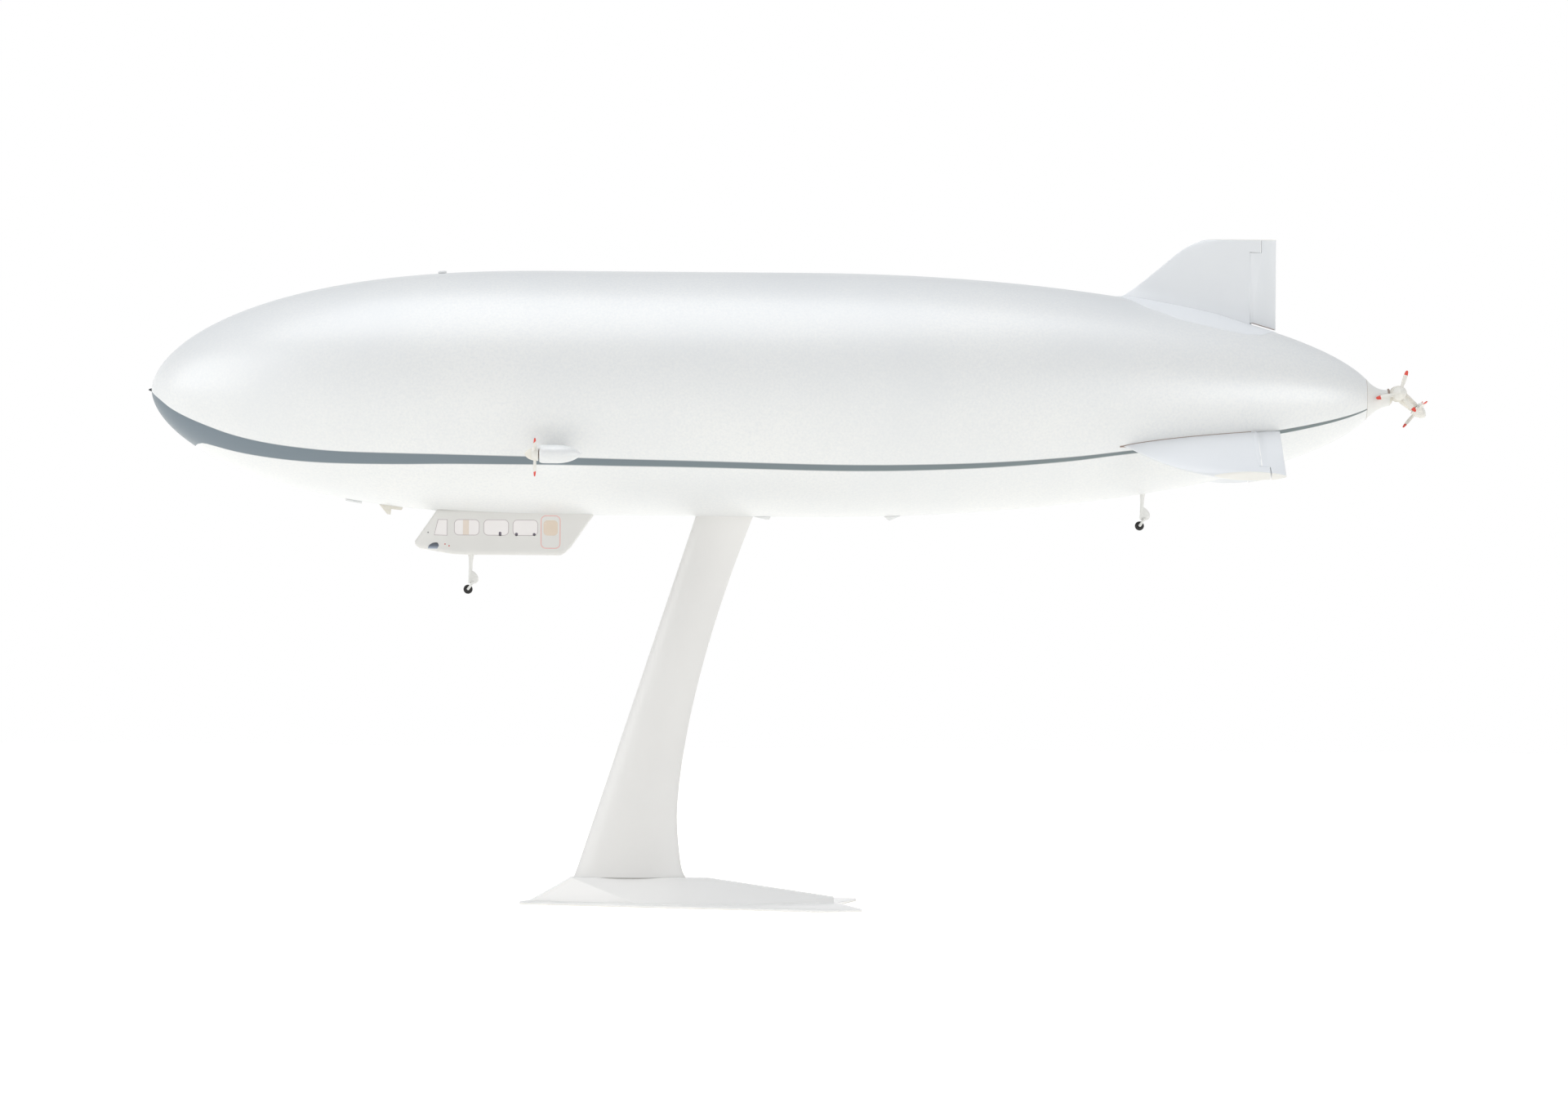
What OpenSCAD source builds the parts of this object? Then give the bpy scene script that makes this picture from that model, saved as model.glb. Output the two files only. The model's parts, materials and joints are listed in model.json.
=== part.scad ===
// Airship display model on a swept stand.
// +X points aft, +Y to starboard and +Z up. The origin lies on the table under the stand's middle.

/* [Hull] */
// Largest radius of the envelope
hull_r = 35.85; // [33:0.05:39]
// Length of the swelling nose
nose_len = 122; // [108:1:130]
// Power of the nose curve along its length
nose_power = 2.5; // [2.2:0.05:2.8]
// Power that rounds the nose
nose_round = 1.8; // [1.65:0.05:1.95]
// Distance from the nose tip to the start of the tail's taper
tail_start = 193; // [186:1:200]
// Length over which the tail would taper to a point
tail_len = 167; // [160:1:176]
// Power that rounds the tail
tail_round = 1.82; // [1.7:0.02:1.95]
// Distance of the tail seam ahead of that point
tail_cut = 3.3; // [2.6:0.1:4.5]
// Wall of the half shells
hull_wall = 2; // [1.4:0.1:2.6]
// Height of the hull's axis above the table
axis_z = 150; // [140:1:165]
// Distance of the nose tip ahead of the stand's middle
nose_ahead = 158; // [154:1:162]
// Length of the nose cap
cap_len = 1.7; // [1.4:0.1:2.4]
// Radius of the nose cap's peg
cap_peg_r = 1.8; // [1.4:0.1:2.4]
// Radius of the probe at the nose tip
probe_r = 0.45; // [0.35:0.05:0.6]
// Length of the probe ahead of the nose tip
probe_len = 0.9; // [0.6:0.1:1.5]
// Width of a joining ring inside the hull
ring_w = 4; // [3:0.5:6]
// Thickness of a joining ring
ring_t = 1.6; // [1.2:0.1:2.5]

/* [Stand] */
// Distance of the base's front point ahead of the middle
base_front = 49; // [45:0.2:54]
// Distance of the base's tail tips behind the middle
base_rear = 50.7; // [47:0.1:56]
// Depth of the notch between the tail tips
base_notch = 6.4; // [3:0.2:8]
// Width of the base at its blunt front point
base_front_w = 7; // [6:0.5:10]
// Width of the base at its widest
base_w = 78; // [72:1:82]
// Width over the tail tips
base_tip_w = 66; // [60:1:70]
// Height of the base's flat top
base_h = 8; // [7:0.2:10]
// Thickness of the base at its edge
base_edge = 0.6; // [0.4:0.1:0.9]
// Height of the crease between the flat wings and the ridge
base_fold_h = 1; // [0.8:0.1:1.4]
// Width of the ridge at the crease
ridge_w = 26; // [22:0.5:30]
// Height of the ridge at its rear end
ridge_rear_h = 2.6; // [2:0.1:3.4]
// Length of the pylon's foot along the base
foot_chord = 31.4; // [28:0.2:34]
// Distance of the foot's front ahead of the middle
foot_front = 33; // [31:0.2:34]
// Thickness of the pylon at its foot
foot_t = 8; // [6.5:0.1:8.4]
// Distance of the pylon's waist behind the middle
waist_x = -3; // [-5:0.2:-1]
// Height of the pylon's waist
waist_h = 26; // [22:1:32]
// Length of the pylon's top along the hull
top_chord = 16.8; // [15:0.2:18]
// Distance of the pylon's top middle behind the stand's middle
top_x = 10.3; // [8:0.1:13]
// Thickness of the pylon at its top
top_t = 5; // [4.6:0.1:6]
// Length of the tongue that carries the hull
tongue_l = 9; // [7:0.2:10]
// Thickness of the tongue
tongue_t = 3; // [2.4:0.1:3.6]
// Height of the tongue inside the hull
tongue_h = 10; // [8:0.5:13]
// Wall of the socket that takes the tongue
socket_wall = 2; // [1.5:0.1:3]

/* [Fins] */
// Distance of the fins' trailing edges ahead of the tail's point
fin_te = 30; // [26:0.5:34]
// Distance of the fin tips from the hull's axis
fin_tip_h = 46.7; // [44.5:0.1:50]
// Chord of a fin's straight-sided outline at its tip
fin_tip_chord = 24; // [22:0.2:26]
// Sweep of the leading edge
fin_sweep = 50; // [46:0.5:53]
// Size of the rounded corner between leading edge and tip
fin_corner = 4.7; // [3.5:0.1:5.5]
// Thickness of a fin
fin_t = 3; // [2.8:0.05:3.4]
// Thickness of a fin's edges
fin_edge = 0.3; // [0.25:0.05:0.5]
// Chord of the hinged rudder and elevators
rudder_chord = 7.5; // [6.5:0.1:8.5]
// Height of the fixed tip over the hinge line
horn_h = 3.6; // [3.2:0.1:4.5]
// Length of the fixed tip behind the hinge line
horn_len = 2.9; // [2.4:0.1:3.4]
// Radius of the hinge barrel
barrel_r = 1.2; // [1.1:0.05:1.4]
// Radius of the hinge pins
pin_r = 0.4; // [0.3:0.05:0.5]
// Length of the tab that holds a fin in the hull
tab_l = 16; // [12:0.5:20]
// Thickness of that tab
tab_t = 1.3; // [1:0.1:1.6]

/* [Propellers] */
// Radius of the propellers
prop_r = 6.6; // [6:0.1:6.8]
// Widest width of a blade
blade_w = 1.6; // [1.3:0.1:1.9]
// Thickness of a blade
blade_t = 0.5; // [0.4:0.05:0.6]
// Pitch of a blade
blade_pitch = 32; // [20:1:40]
// Radius of a propeller's hub
prop_hub_r = 2; // [1.7:0.05:2.1]
// Length of a propeller's hub
prop_hub_l = 2; // [1.8:0.1:2.2]
// Radius of the propeller shafts
shaft_r = 0.45; // [0.35:0.05:0.55]

/* [Side engines] */
// Distance from the nose tip to the engines' swivel axis
nac_x = 119; // [112:0.5:124]
// Distance of an engine from the middle plane
nac_y = 42; // [41:0.1:45]
// Height of the engines under the hull's axis
nac_drop = 18.5; // [16:0.1:20]
// Radius of a nacelle
nac_r = 2.65; // [2.4:0.05:3]
// Length of a nacelle ahead of its swivel axis
nac_front = 3.7; // [3.4:0.1:4.5]
// Length of a nacelle behind its swivel axis
nac_rear = 7.7; // [6.5:0.1:9]
// Length of the spinner
spinner_len = 2; // [1.5:0.1:3]
// Chord of an outrigger
outrigger_chord = 7; // [5:0.2:7.4]
// Thickness of an outrigger
outrigger_t = 2.4; // [2.2:0.1:3]
// Radius of the swivel pin
swivel_r = 0.8; // [0.6:0.05:0.95]

/* [Tail drive] */
// Length of the tail cone
cone_len = 7; // [6.2:0.1:9]
// Radius of the tail cone's end
cone_end_r = 2.4; // [2.2:0.1:2.8]
// Distance of the cross shaft behind the cone
gear_x = 2.6; // [2.4:0.1:3.2]
// Height of the cross shaft over the hull's axis
gear_z = 1.7; // [1:0.1:2.2]
// Radius of the gearbox
gear_r = 2.3; // [2:0.05:2.3]
// Width of the gearbox
gear_w = 4; // [3.4:0.1:4.6]
// Radius of the cross shaft
cross_r = 0.6; // [0.5:0.05:0.7]
// Thickness of the swivel arms
arm_t = 1.2; // [0.9:0.1:1.5]
// Rest angle of the rear propeller below straight aft
rear_angle = 40; // [30:1:45]
// Length of the rear housing from the cross shaft
rear_len = 6.2; // [6:0.1:7.2]

/* [Gondola] */
// Distance from the hull's nose tip to the gondola's nose
gond_x = 77.6; // [70:0.2:80]
// Length of the gondola at the hull
gond_len = 52.3; // [51:0.1:56]
// Width of the gondola
gond_w = 11; // [10:0.1:13]
// Depth of the gondola under the hull's lowest line
gond_h = 11.85; // [11.4:0.05:13]
// Wall of the gondola
gond_wall = 0.8; // [0.6:0.05:1]
// Depth of the floor pan
floor_h = 1.8; // [1.5:0.1:2]
// Width of the gondola's nose
gond_nose_w = 4.6; // [4:0.1:5.4]
// Width of a side window
window_w = 7.3; // [6.4:0.1:7.6]
// Distance between neighbouring side windows
window_pitch = 8.55; // [8.3:0.05:8.7]
// Height of a side window
window_h = 4.7; // [4:0.1:5]
// Height of the windows' middle over the gondola's bottom
window_z = 7.8; // [7.4:0.1:8]
// Corner radius of a window
window_round = 1; // [0.6:0.1:1.4]
// Width of the door
door_w = 5.5; // [5:0.1:5.8]
// Thickness of the door panel
door_t = 0.4; // [0.3:0.05:0.5]
// Width of a seat
seat_w = 2.2; // [1.8:0.1:2.6]
// Height of a seat's back over the floor
seat_back_h = 4.4; // [3.5:0.1:5]

/* [Landing gear] */
// Distance of the front gear behind the gondola's nose
front_gear_x = 15.6; // [14:0.1:18]
// Height of the front axle under the gondola
front_drop = 10.1; // [9:0.1:12]
// Distance of the rear gear ahead of the tail's point
rear_gear_x = 69.6; // [64:0.2:76]
// Height of the rear axle under the hull
rear_drop = 9.2; // [8.4:0.1:11]
// Radius of a wheel
wheel_r = 1.35; // [1.2:0.05:1.5]
// Width of a wheel
wheel_w = 1.2; // [1:0.1:1.5]
// Radius of a wheel's hub
wheel_hub_r = 0.55; // [0.5:0.05:0.7]
// Radius of the axles
axle_r = 0.25; // [0.2:0.05:0.3]
// Radius of a gear leg
leg_r = 0.75; // [0.65:0.05:0.9]
// Distance of a gear leg behind its axle
leg_shift = 0.8; // [0.5:0.05:1.1]
// Thickness of a fork's arm
fork_t = 0.5; // [0.4:0.05:0.7]
// Radius of the round link behind a leg
link_r = 1.45; // [1.2:0.05:1.6]

/* [Fits] */
// Gap between the hull and what is glued on it
seat_gap = 0.05; // [0.03:0.01:0.1]
// Gap round pegs and tabs that hold fixed pieces
peg_gap = 0.05; // [0.03:0.01:0.08]
// Gap round shafts and pins that turn
run_gap = 0.05; // [0.03:0.01:0.08]
// Gap round the tongue in its socket
tongue_gap = 0.08; // [0.05:0.01:0.1]
// Gap between neighbouring bodies
clear_gap = 0.3; // [0.2:0.05:0.4]

/* [Hidden] */
$fn = 48;
hull_sides = 180;
curve_steps = 18;
tail_end = tail_start + tail_len;
seam_x = tail_end - tail_cut;
hull_stations = concat(
    [for (i = [1:curve_steps]) nose_len * pow(i / curve_steps, 2)],
    [for (i = [0:curve_steps - 1]) tail_start + tail_len * (1 - pow(1 - i / curve_steps, 2))]);
cavity_front = cap_len + 2 * hull_wall;
cavity_rear = seam_x - 2 * hull_wall;
peg_len = 3;
cone_peg_r = 2.5;
press_gap = peg_gap / 5;
over = 1;
port = -1;
starboard = 1;
cap_steps = 6;

pad_sink = 1.5;
valve_x = 85;
valve_size = [2.4, 2.4, 0.7];
plate_x = 59.5;
plate_size = [4.8, 2.4, 0.6];
vent_w = 2.4;
vent_clear = 0.4;
front_vent_x = nose_ahead + top_x + top_chord / 2 + vent_clear;
front_vent = [[0, 0.1], [3.4, 0.85], [4.4, 0.8], [4.8, 0.1]];
rear_vent_x = 215.2;
rear_vent = [[0, 0.1], [1.5, 1.35], [4.8, 0.1]];
antenna_x = 67;
antenna = [[0, 0.1], [2.3, 2.6], [3.3, 2.6], [3.5, 1], [6.6, 0.9], [6.9, 0.1]];
antenna_t = 0.8;

hull_bottom = axis_z - hull_r;
tenon_l = 0.6 * foot_chord;
tenon_h = 0.6 * base_h;
tenon_t = 0.4 * foot_t;
tongue_root = 3;
foot_lip = 0.9;
ridge_inset = 3;
ridge_wide_x = [-15, 20];
ridge_end_w = 4;
trail_power = 1.6;
pylon_sides = 28;
pylon_steps = 10;

te_x = tail_end - fin_te;
hinge_x = te_x - rudder_chord;
horn_z = fin_tip_h - horn_h;
fin_root_h = hull_radius(te_x) - hull_wall;
rudder_bottom = hull_radius(hinge_x) + 2 * clear_gap;
rudder_slope = (hull_radius(te_x) - hull_radius(hinge_x)) / rudder_chord;
fin_angles = [0, 120, -120];
fin_fullness = 0.7;
fin_steps = 12;
tab_ahead = 8;
pin_depth = hull_wall - clear_gap;
tab_x = hinge_x - tab_ahead - tab_l;
ring_places = [nose_len + 3 * ring_w, tail_start - 1.5 * ring_w];

nac_z = -nac_drop;
hull_side = sqrt(hull_r * hull_r - nac_drop * nac_drop);
outrigger_end = nac_y - nac_r - clear_gap;
outrigger_peg_r = 0.35 * outrigger_t;
swivel_len = nac_r;
nac_lip_r = 0.88 * nac_r;
nac_lip_l = 1;
nac_end_r = 0.12 * nac_r;
nac_taper = 2.4;
nac_round = 0.8;
nac_steps = 8;
nac_shaft_depth = nac_front - swivel_r - 2 * clear_gap;

blade_root = 0.3 * blade_w;
blade_tip = 0.2 * blade_w;
blade_widest = 0.6 * prop_r;
dome_lap = 0.1;
side_prop_angle = 192;
lateral_prop_angle = 18;
rear_prop_angle = 60;

cone_end_x = seam_x + cone_len;
cross_x = cone_end_x + gear_x;
arm_y = gear_w / 2 + clear_gap;
lateral_y = arm_y + arm_t + clear_gap;
arm_r = gear_x - 2 * clear_gap;
seam_r = hull_radius(seam_x);
cone_power = 2.2;
cone_steps = 8;
cone_peg_len = peg_len - seat_gap;
neck_r = 0.75 * gear_r;
neck_peg_r = 0.5 * neck_r;
neck_z = gear_z / 2;
pod_r = 1.8;
bridge_x = gear_r + clear_gap;
bridge_l = 1.2;

gond_bottom = -(hull_r + gond_h);
gond_sink = 4;
gond_top = gond_bottom + gond_h + gond_sink;
gond_floor = gond_bottom + floor_h;
gond_rear = gond_x + gond_len;
gond_rake = 0.7;
gond_nose_l = 9.5;
gond_rear_w = 0.7 * gond_w;
chin_h = 3.5;
chin_l = 2.9;
chin_low = 1.7;
chin_end = 14;
heel_h = 2.2;
heel_l = 3;
heel_x = gond_rear - gond_rake * (gond_h - heel_h);
window_x = 15.1;
window_count = 3;
quarter_x = 5.6;
quarter_w = 3.7;
quarter_slant = 0.22;
screen_frame = 0.5;
door_frame = 0.7;
door_sill = 0.2;
door_x = window_x + (window_count - 0.5) * window_pitch + door_frame + door_w / 2;
door_h = gond_h - floor_h - door_frame;
door_window_w = door_w - 1.2;
gond_taper_x = door_x + door_w / 2 + door_frame;
glazing_t = 0.4;
glazing_lap = 0.4;
seat_rows = 4;

front_axle_z = gond_bottom - front_drop;
rear_leg_x = tail_end - rear_gear_x;
rear_axle_z = -hull_radius(rear_leg_x) - rear_drop;
fork_y = wheel_w / 2 + clear_gap / 2;
crown_z = wheel_r + clear_gap;
crown_t = 0.8;
leg_peg_l = 0.7 * floor_h;
fork_r = 0.45;
fork_slant = atan2(leg_shift, crown_z + crown_t / 2);
fork_l = norm([leg_shift, crown_z + crown_t / 2]);
link_x = leg_shift + 0.75 * link_r;
link_z = crown_z + crown_t / 2 + link_r;
link_t = 0.8;

pearl = "gainsboro";
ivory = "ivory";
clear_grey = "lightsteelblue";
steel = "silver";
black = "dimgray";

// Radius of the envelope at a distance from the nose tip
function hull_radius(x) =
    x < nose_len ? hull_r * pow(max(0, 1 - pow(1 - x / nose_len, nose_power)), 1 / nose_round) :
    x < tail_start ? hull_r :
    hull_r * pow(max(0, 1 - pow((x - tail_start) / tail_len, 2)), 1 / tail_round);

// Stations of the envelope between two distances from the nose tip
function hull_span(from, to) =
    concat([from], [for (x = hull_stations) if (x > from + 0.3 && x < to - 0.3) x], [to]);

function reversed(list) = [for (i = [len(list) - 1:-1:0]) list[i]];

// Places its children in the hull's frame, with the nose tip at zero
module at_hull() {
    translate([-nose_ahead, 0, axis_z]) children();
}

// Turns an outline of radius and distance round the X axis
module revolve(points, angle = 360, sides = $fn) {
    rotate([0, 90, 0]) rotate_extrude(angle = angle, $fn = sides) polygon(points);
}

// A rod along X, Y or Z from its starting point
module rod_x(r, l) {
    rotate([0, 90, 0]) cylinder(r = r, h = l);
}

module rod_y(r, l) {
    rotate([-90, 0, 0]) cylinder(r = r, h = l);
}

// A solid through rings of points that run anticlockwise seen from above
module loft(rings) {
    n = len(rings[0]);
    sides = [for (j = [0:len(rings) - 2], i = [0:n - 1])
        let (a = j * n + i, b = j * n + (i + 1) % n) each [[a, a + n, b + n], [a, b + n, b]]];
    bottom = [for (i = [0:n - 1]) i];
    top = [for (i = [n - 1:-1:0]) (len(rings) - 1) * n + i];
    polyhedron([for (ring = rings) each ring], concat([bottom, top], sides));
}

// An outline in X and Z, drawn through the whole width
module side_cut(points, width) {
    rotate([90, 0, 0]) linear_extrude(width, center = true) polygon(points);
}

module rounded_rect(w, h, r) {
    square([w - 2 * r, h], center = true);
    square([w, h - 2 * r], center = true);
    for (x = [-1, 1], y = [-1, 1]) translate([x * (w / 2 - r), y * (h / 2 - r)]) circle(r);
}

// A lens of two arcs along X
module lens(chord, thick) {
    arc_r = (chord * chord + thick * thick) / (4 * thick);
    intersection() {
        translate([0, arc_r - thick / 2]) circle(arc_r);
        translate([0, thick / 2 - arc_r]) circle(arc_r);
    }
}

// The whole envelope as one solid, grown by a gap
module hull_solid(gap) {
    revolve(concat(
        [[0, -gap]],
        [for (x = hull_span(0, tail_end)) [hull_radius(x) + gap, x]],
        [[0, tail_end + gap]]), sides = hull_sides);
}

// Stand

function base_wing(x, w) = [[x, -w / 2], [x, w / 2]];
base_outline = concat(
    base_wing(-base_front, base_front_w),
    reversed(base_wing(base_rear - 2 * base_notch, base_w)),
    reversed(base_wing(base_rear, base_tip_w)));
ridge_end_x = base_rear - base_notch - over;
base_fold = concat(
    base_wing(ridge_inset - base_front, base_front_w - ridge_inset),
    reversed(base_wing(ridge_wide_x[0], ridge_w)),
    reversed(base_wing(ridge_wide_x[1], ridge_w)),
    reversed(base_wing(ridge_end_x, base_front_w)));
ridge_end = concat(
    base_wing(ridge_end_x - over, ridge_end_w),
    reversed(base_wing(ridge_end_x, ridge_end_w)));
base_top = concat(
    base_wing(-foot_front - foot_lip, foot_t + foot_lip),
    reversed(base_wing(foot_chord - foot_front + base_h, foot_t / 2)));

module stand_base() color("whitesmoke") difference() {
    union() {
        hull() {
            linear_extrude(base_edge) polygon(base_outline);
            linear_extrude(base_fold_h) polygon(base_fold);
        }
        hull() {
            linear_extrude(base_fold_h) polygon(base_fold);
            linear_extrude(base_h) polygon(base_top);
            linear_extrude(ridge_rear_h) polygon(ridge_end);
        }
    }
    translate([0, 0, -over]) linear_extrude(base_h + 2 * over) polygon([
        [base_rear - base_notch, 0], [base_rear + over, base_tip_w / 2],
        [base_rear + over, -base_tip_w / 2]]);
    pylon_tenon(peg_gap);
}

function pylon_lead(z) =
    -foot_front + (top_x - top_chord / 2 + foot_front) * (z - base_h) / (hull_bottom - base_h);
function pylon_trail(z) = waist_x
    + (top_x + top_chord / 2 - waist_x) * pow(abs(z - waist_h) / (hull_bottom - waist_h), trail_power);
function pylon_thick(z) = foot_t + (top_t - foot_t) * (z - base_h) / (hull_bottom - base_h);
function pylon_ring(z) = [for (i = [0:pylon_sides - 1])
    let (a = 360 * i / pylon_sides, front = pylon_lead(z), rear = pylon_trail(z))
    [(front + rear) / 2 + (rear - front) / 2 * cos(a), pylon_thick(z) / 2 * sin(a), z]];

module pylon_tenon(gap) {
    tenon_x = foot_chord / 2 - foot_front - tenon_l / 2;
    translate([tenon_x - gap, -tenon_t / 2 - gap, base_h - tenon_h - gap])
        cube([tenon_l + 2 * gap, tenon_t + 2 * gap, tenon_h + over]);
}

module stand_tongue(gap) {
    translate([top_x - tongue_l / 2 - gap, -tongue_t / 2 - gap, hull_bottom - tongue_root])
        cube([tongue_l + 2 * gap, tongue_t + 2 * gap, tongue_h + tongue_root + gap]);
}

module stand_pylon() color("whitesmoke") {
    pylon_top = hull_bottom + over;
    difference() {
        loft([for (i = [0:pylon_steps]) pylon_ring(base_h + (pylon_top - base_h) * i / pylon_steps)]);
        at_hull() rod_x(hull_r + clear_gap, tail_start);
    }
    pylon_tenon(0);
    stand_tongue(0);
}

module stand_socket() color(ivory) difference() {
    inner_r = hull_r - hull_wall - seat_gap;
    intersection() {
        translate([top_x - tongue_l / 2 - socket_wall, -tongue_t / 2 - socket_wall, hull_bottom])
            cube([tongue_l + 2 * socket_wall, tongue_t + 2 * socket_wall, tongue_h + socket_wall + over]);
        at_hull() rod_x(inner_r, tail_start);
    }
    stand_tongue(tongue_gap);
}

// Hull

shell_profile = concat(
    [[0, cap_len]],
    [for (x = hull_span(cap_len, seam_x)) [hull_radius(x), x]],
    [[0, seam_x], [0, cavity_rear]],
    reversed([for (x = hull_span(cavity_front, cavity_rear)) [hull_radius(x) - hull_wall, x]]),
    [[0, cavity_front]]);

module half_shell() color(pearl) difference() {
    at_hull() revolve(shell_profile, 180, hull_sides);
    at_hull() {
        rod_x(cap_peg_r + peg_gap, cap_len + peg_len);
        translate([seam_x - peg_len, 0, 0]) rod_x(cone_peg_r + peg_gap, peg_len + over);
        for (a = fin_angles) rotate([a, 0, 0]) {
            fin_tab(peg_gap);
            hinge_rod(pin_r + peg_gap / 2, 0);
        }
        outrigger_peg(peg_gap);
        translate([rear_leg_x, 0, rear_axle_z]) leg_peg(rear_drop, peg_gap);
    }
    stand_tongue(tongue_gap + clear_gap);
}

module hull_starboard_shell() half_shell();

module hull_port_shell() mirror([0, 1, 0]) half_shell();

module joining_ring(x) color(ivory) at_hull() {
    outer_r = min(hull_radius(x - ring_w / 2), hull_radius(x + ring_w / 2)) - hull_wall - seat_gap;
    translate([x - ring_w / 2, 0, 0]) difference() {
        rod_x(outer_r, ring_w);
        translate([-over, 0, 0]) rod_x(outer_r - ring_t, ring_w + 2 * over);
    }
}

module nose_cap() color(pearl) at_hull() difference() {
    union() {
        revolve(concat(
            [[0, 0]],
            [for (i = [1:cap_steps]) let (x = cap_len * pow(i / cap_steps, 2)) [hull_radius(x), x]],
            [[0, cap_len]]));
        rod_x(cap_peg_r, cap_len + peg_len - seat_gap);
    }
    translate([-over, 0, 0]) rod_x(probe_r + peg_gap / 2, cap_len + over);
}

module nose_probe() color(black) at_hull() {
    rod_x(probe_r, cap_len - seat_gap);
    revolve([[0, -probe_len], [probe_r, 0], [0, 0]]);
}

// A pad that lies along the hull: length, width and how far it stands proud
module hull_pad(x, side, size) color(pearl) at_hull() difference() {
    slope = atan((hull_radius(x + over) - hull_radius(x - over)) / (2 * over));
    translate([x, 0, side * hull_radius(x)]) rotate([0, -side * slope, 0])
        translate([-size[0] / 2, -size[1] / 2, side > 0 ? -pad_sink : -size[2]])
            cube([size[0], size[1], size[2] + pad_sink]);
    hull_solid(seat_gap);
}

// A keel fitting drawn by distances behind its front and depths under the hull
module keel_fitting(x, outline, thick) at_hull() difference() {
    rear_x = x + outline[len(outline) - 1][0];
    side_cut(concat(
        [[x, pad_sink - hull_radius(x)]],
        [for (p = outline) [x + p[0], -hull_radius(x + p[0]) - p[1]]],
        [[rear_x, pad_sink - hull_radius(rear_x)]]), thick);
    hull_solid(seat_gap);
}

module top_valve_cover() hull_pad(valve_x, 1, valve_size);

module keel_plate() hull_pad(plate_x, -1, plate_size);

module front_keel_vent() color(pearl) keel_fitting(front_vent_x, front_vent, vent_w);

module rear_keel_vent() color(pearl) keel_fitting(rear_vent_x, rear_vent, vent_w);

module keel_antenna() color(ivory) keel_fitting(antenna_x, antenna, antenna_t);

// Fins, built upright over the hull's axis

function fin_lead(h) = te_x - fin_tip_chord - (fin_tip_h - h) * tan(fin_sweep)
    + fin_corner * (1 - sqrt(max(0, 1 - pow(max(0, (h - fin_tip_h + fin_corner) / fin_corner), 2))));
function fin_half(f) = fin_edge / 2 + (fin_t - fin_edge) / 2 * pow(abs(sin(180 * f)), fin_fullness);
function fin_side(h, sign) = [for (i = [0:fin_steps])
    let (f = (1 - cos(180 * i / fin_steps)) / 2, front = fin_lead(h))
    [front + f * (te_x - front), sign * fin_half(f), h]];
function fin_ring(h) = concat(fin_side(h, -1), reversed(fin_side(h, 1)));
fin_heights = concat([fin_root_h], [for (a = [0:15:90]) fin_tip_h - fin_corner * (1 - sin(a))]);

module whole_fin() {
    loft([for (h = fin_heights) fin_ring(h)]);
}

module fin_tab(gap) {
    low = hull_radius(tab_x + tab_l) - hull_wall - over;
    translate([tab_x - gap, -tab_t / 2 - gap, low - gap])
        cube([tab_l + 2 * gap, tab_t + 2 * gap, hull_radius(tab_x) + over - low]);
}

module hinge_rod(r, trim) {
    low = hull_radius(hinge_x) - pin_depth + trim;
    translate([hinge_x, 0, low]) rotate([0, 0, 45]) cylinder(r = r, h = horn_z + horn_h / 2 - low - trim);
}

// The outline of a rudder, grown by a gap
module rudder_zone(gap, bottom) {
    far = te_x + rudder_chord;
    high = fin_tip_h + horn_h;
    horn_rear = hinge_x + horn_len + clear_gap - gap;
    horn_low = horn_z - clear_gap + gap;
    side_cut([
        [hinge_x, bottom], [far, bottom + rudder_slope * (far - hinge_x)], [far, high],
        [horn_rear, high], [horn_rear, horn_low], [hinge_x, horn_low]], 2 * fin_t);
}

module fin() color("white") at_hull() difference() {
    union() {
        difference() {
            whole_fin();
            hull_solid(seat_gap);
        }
        fin_tab(0);
    }
    rudder_zone(clear_gap, fin_root_h - hull_wall);
    translate([hinge_x, 0, 0]) cylinder(r = barrel_r + clear_gap, h = horn_z);
    hinge_rod(pin_r + peg_gap / 2, 0);
}

module control_surface() color("white") at_hull() difference() {
    union() {
        intersection() {
            whole_fin();
            rudder_zone(0, rudder_bottom);
        }
        translate([hinge_x, 0, rudder_bottom])
            cylinder(r = barrel_r, h = horn_z - clear_gap - rudder_bottom);
    }
    hinge_rod(pin_r + run_gap, -over);
}

module hinge_pin() color(steel) at_hull() {
    hinge_rod(pin_r, peg_gap);
}

// Turns its children round the hull's axis
module round_hull(a) {
    translate([0, 0, axis_z]) rotate([a, 0, 0]) translate([0, 0, -axis_z]) children();
}

module top_fin() fin();

module port_fin() round_hull(fin_angles[1]) fin();

module starboard_fin() round_hull(fin_angles[2]) fin();

module rudder() control_surface();

module port_elevator() round_hull(fin_angles[1]) control_surface();

module starboard_elevator() round_hull(fin_angles[2]) control_surface();

module rudder_pin() hinge_pin();

module port_elevator_pin() round_hull(fin_angles[1]) hinge_pin();

module starboard_elevator_pin() round_hull(fin_angles[2]) hinge_pin();

// Propellers, built with the hub's rear face at zero and the axis along -X

module blade() {
    translate([-prop_hub_l / 2, 0, 0]) rotate([0, 0, blade_pitch]) rotate([90, 0, 90])
        linear_extrude(blade_t, center = true) polygon([
            [-blade_root, prop_hub_r / 2], [-blade_w / 2, blade_widest], [-blade_tip, prop_r],
            [blade_tip, prop_r], [blade_w / 2, blade_widest], [blade_root, prop_hub_r / 2]]);
}

// A closed end for a hub, from its front face
module dome() {
    revolve([for (a = [0:15:90]) [prop_hub_r * cos(a), -prop_hub_l - spinner_len * sin(a)]]);
}

// A blind bore leaves the hub closed by its dome
module propeller(first_angle, bore_r, closed) color(ivory) difference() {
    hub_l = prop_hub_l + (closed ? dome_lap : 0);
    union() {
        translate([-hub_l, 0, 0]) rod_x(prop_hub_r, hub_l);
        for (i = [0:2]) rotate([first_angle + 120 * i, 0, 0]) blade();
        if (closed) dome();
    }
    translate([-prop_hub_l - (closed ? 0 : over), 0, 0]) rod_x(bore_r + run_gap, prop_hub_l + 2 * over);
}

// Side engines, built to starboard

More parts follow.
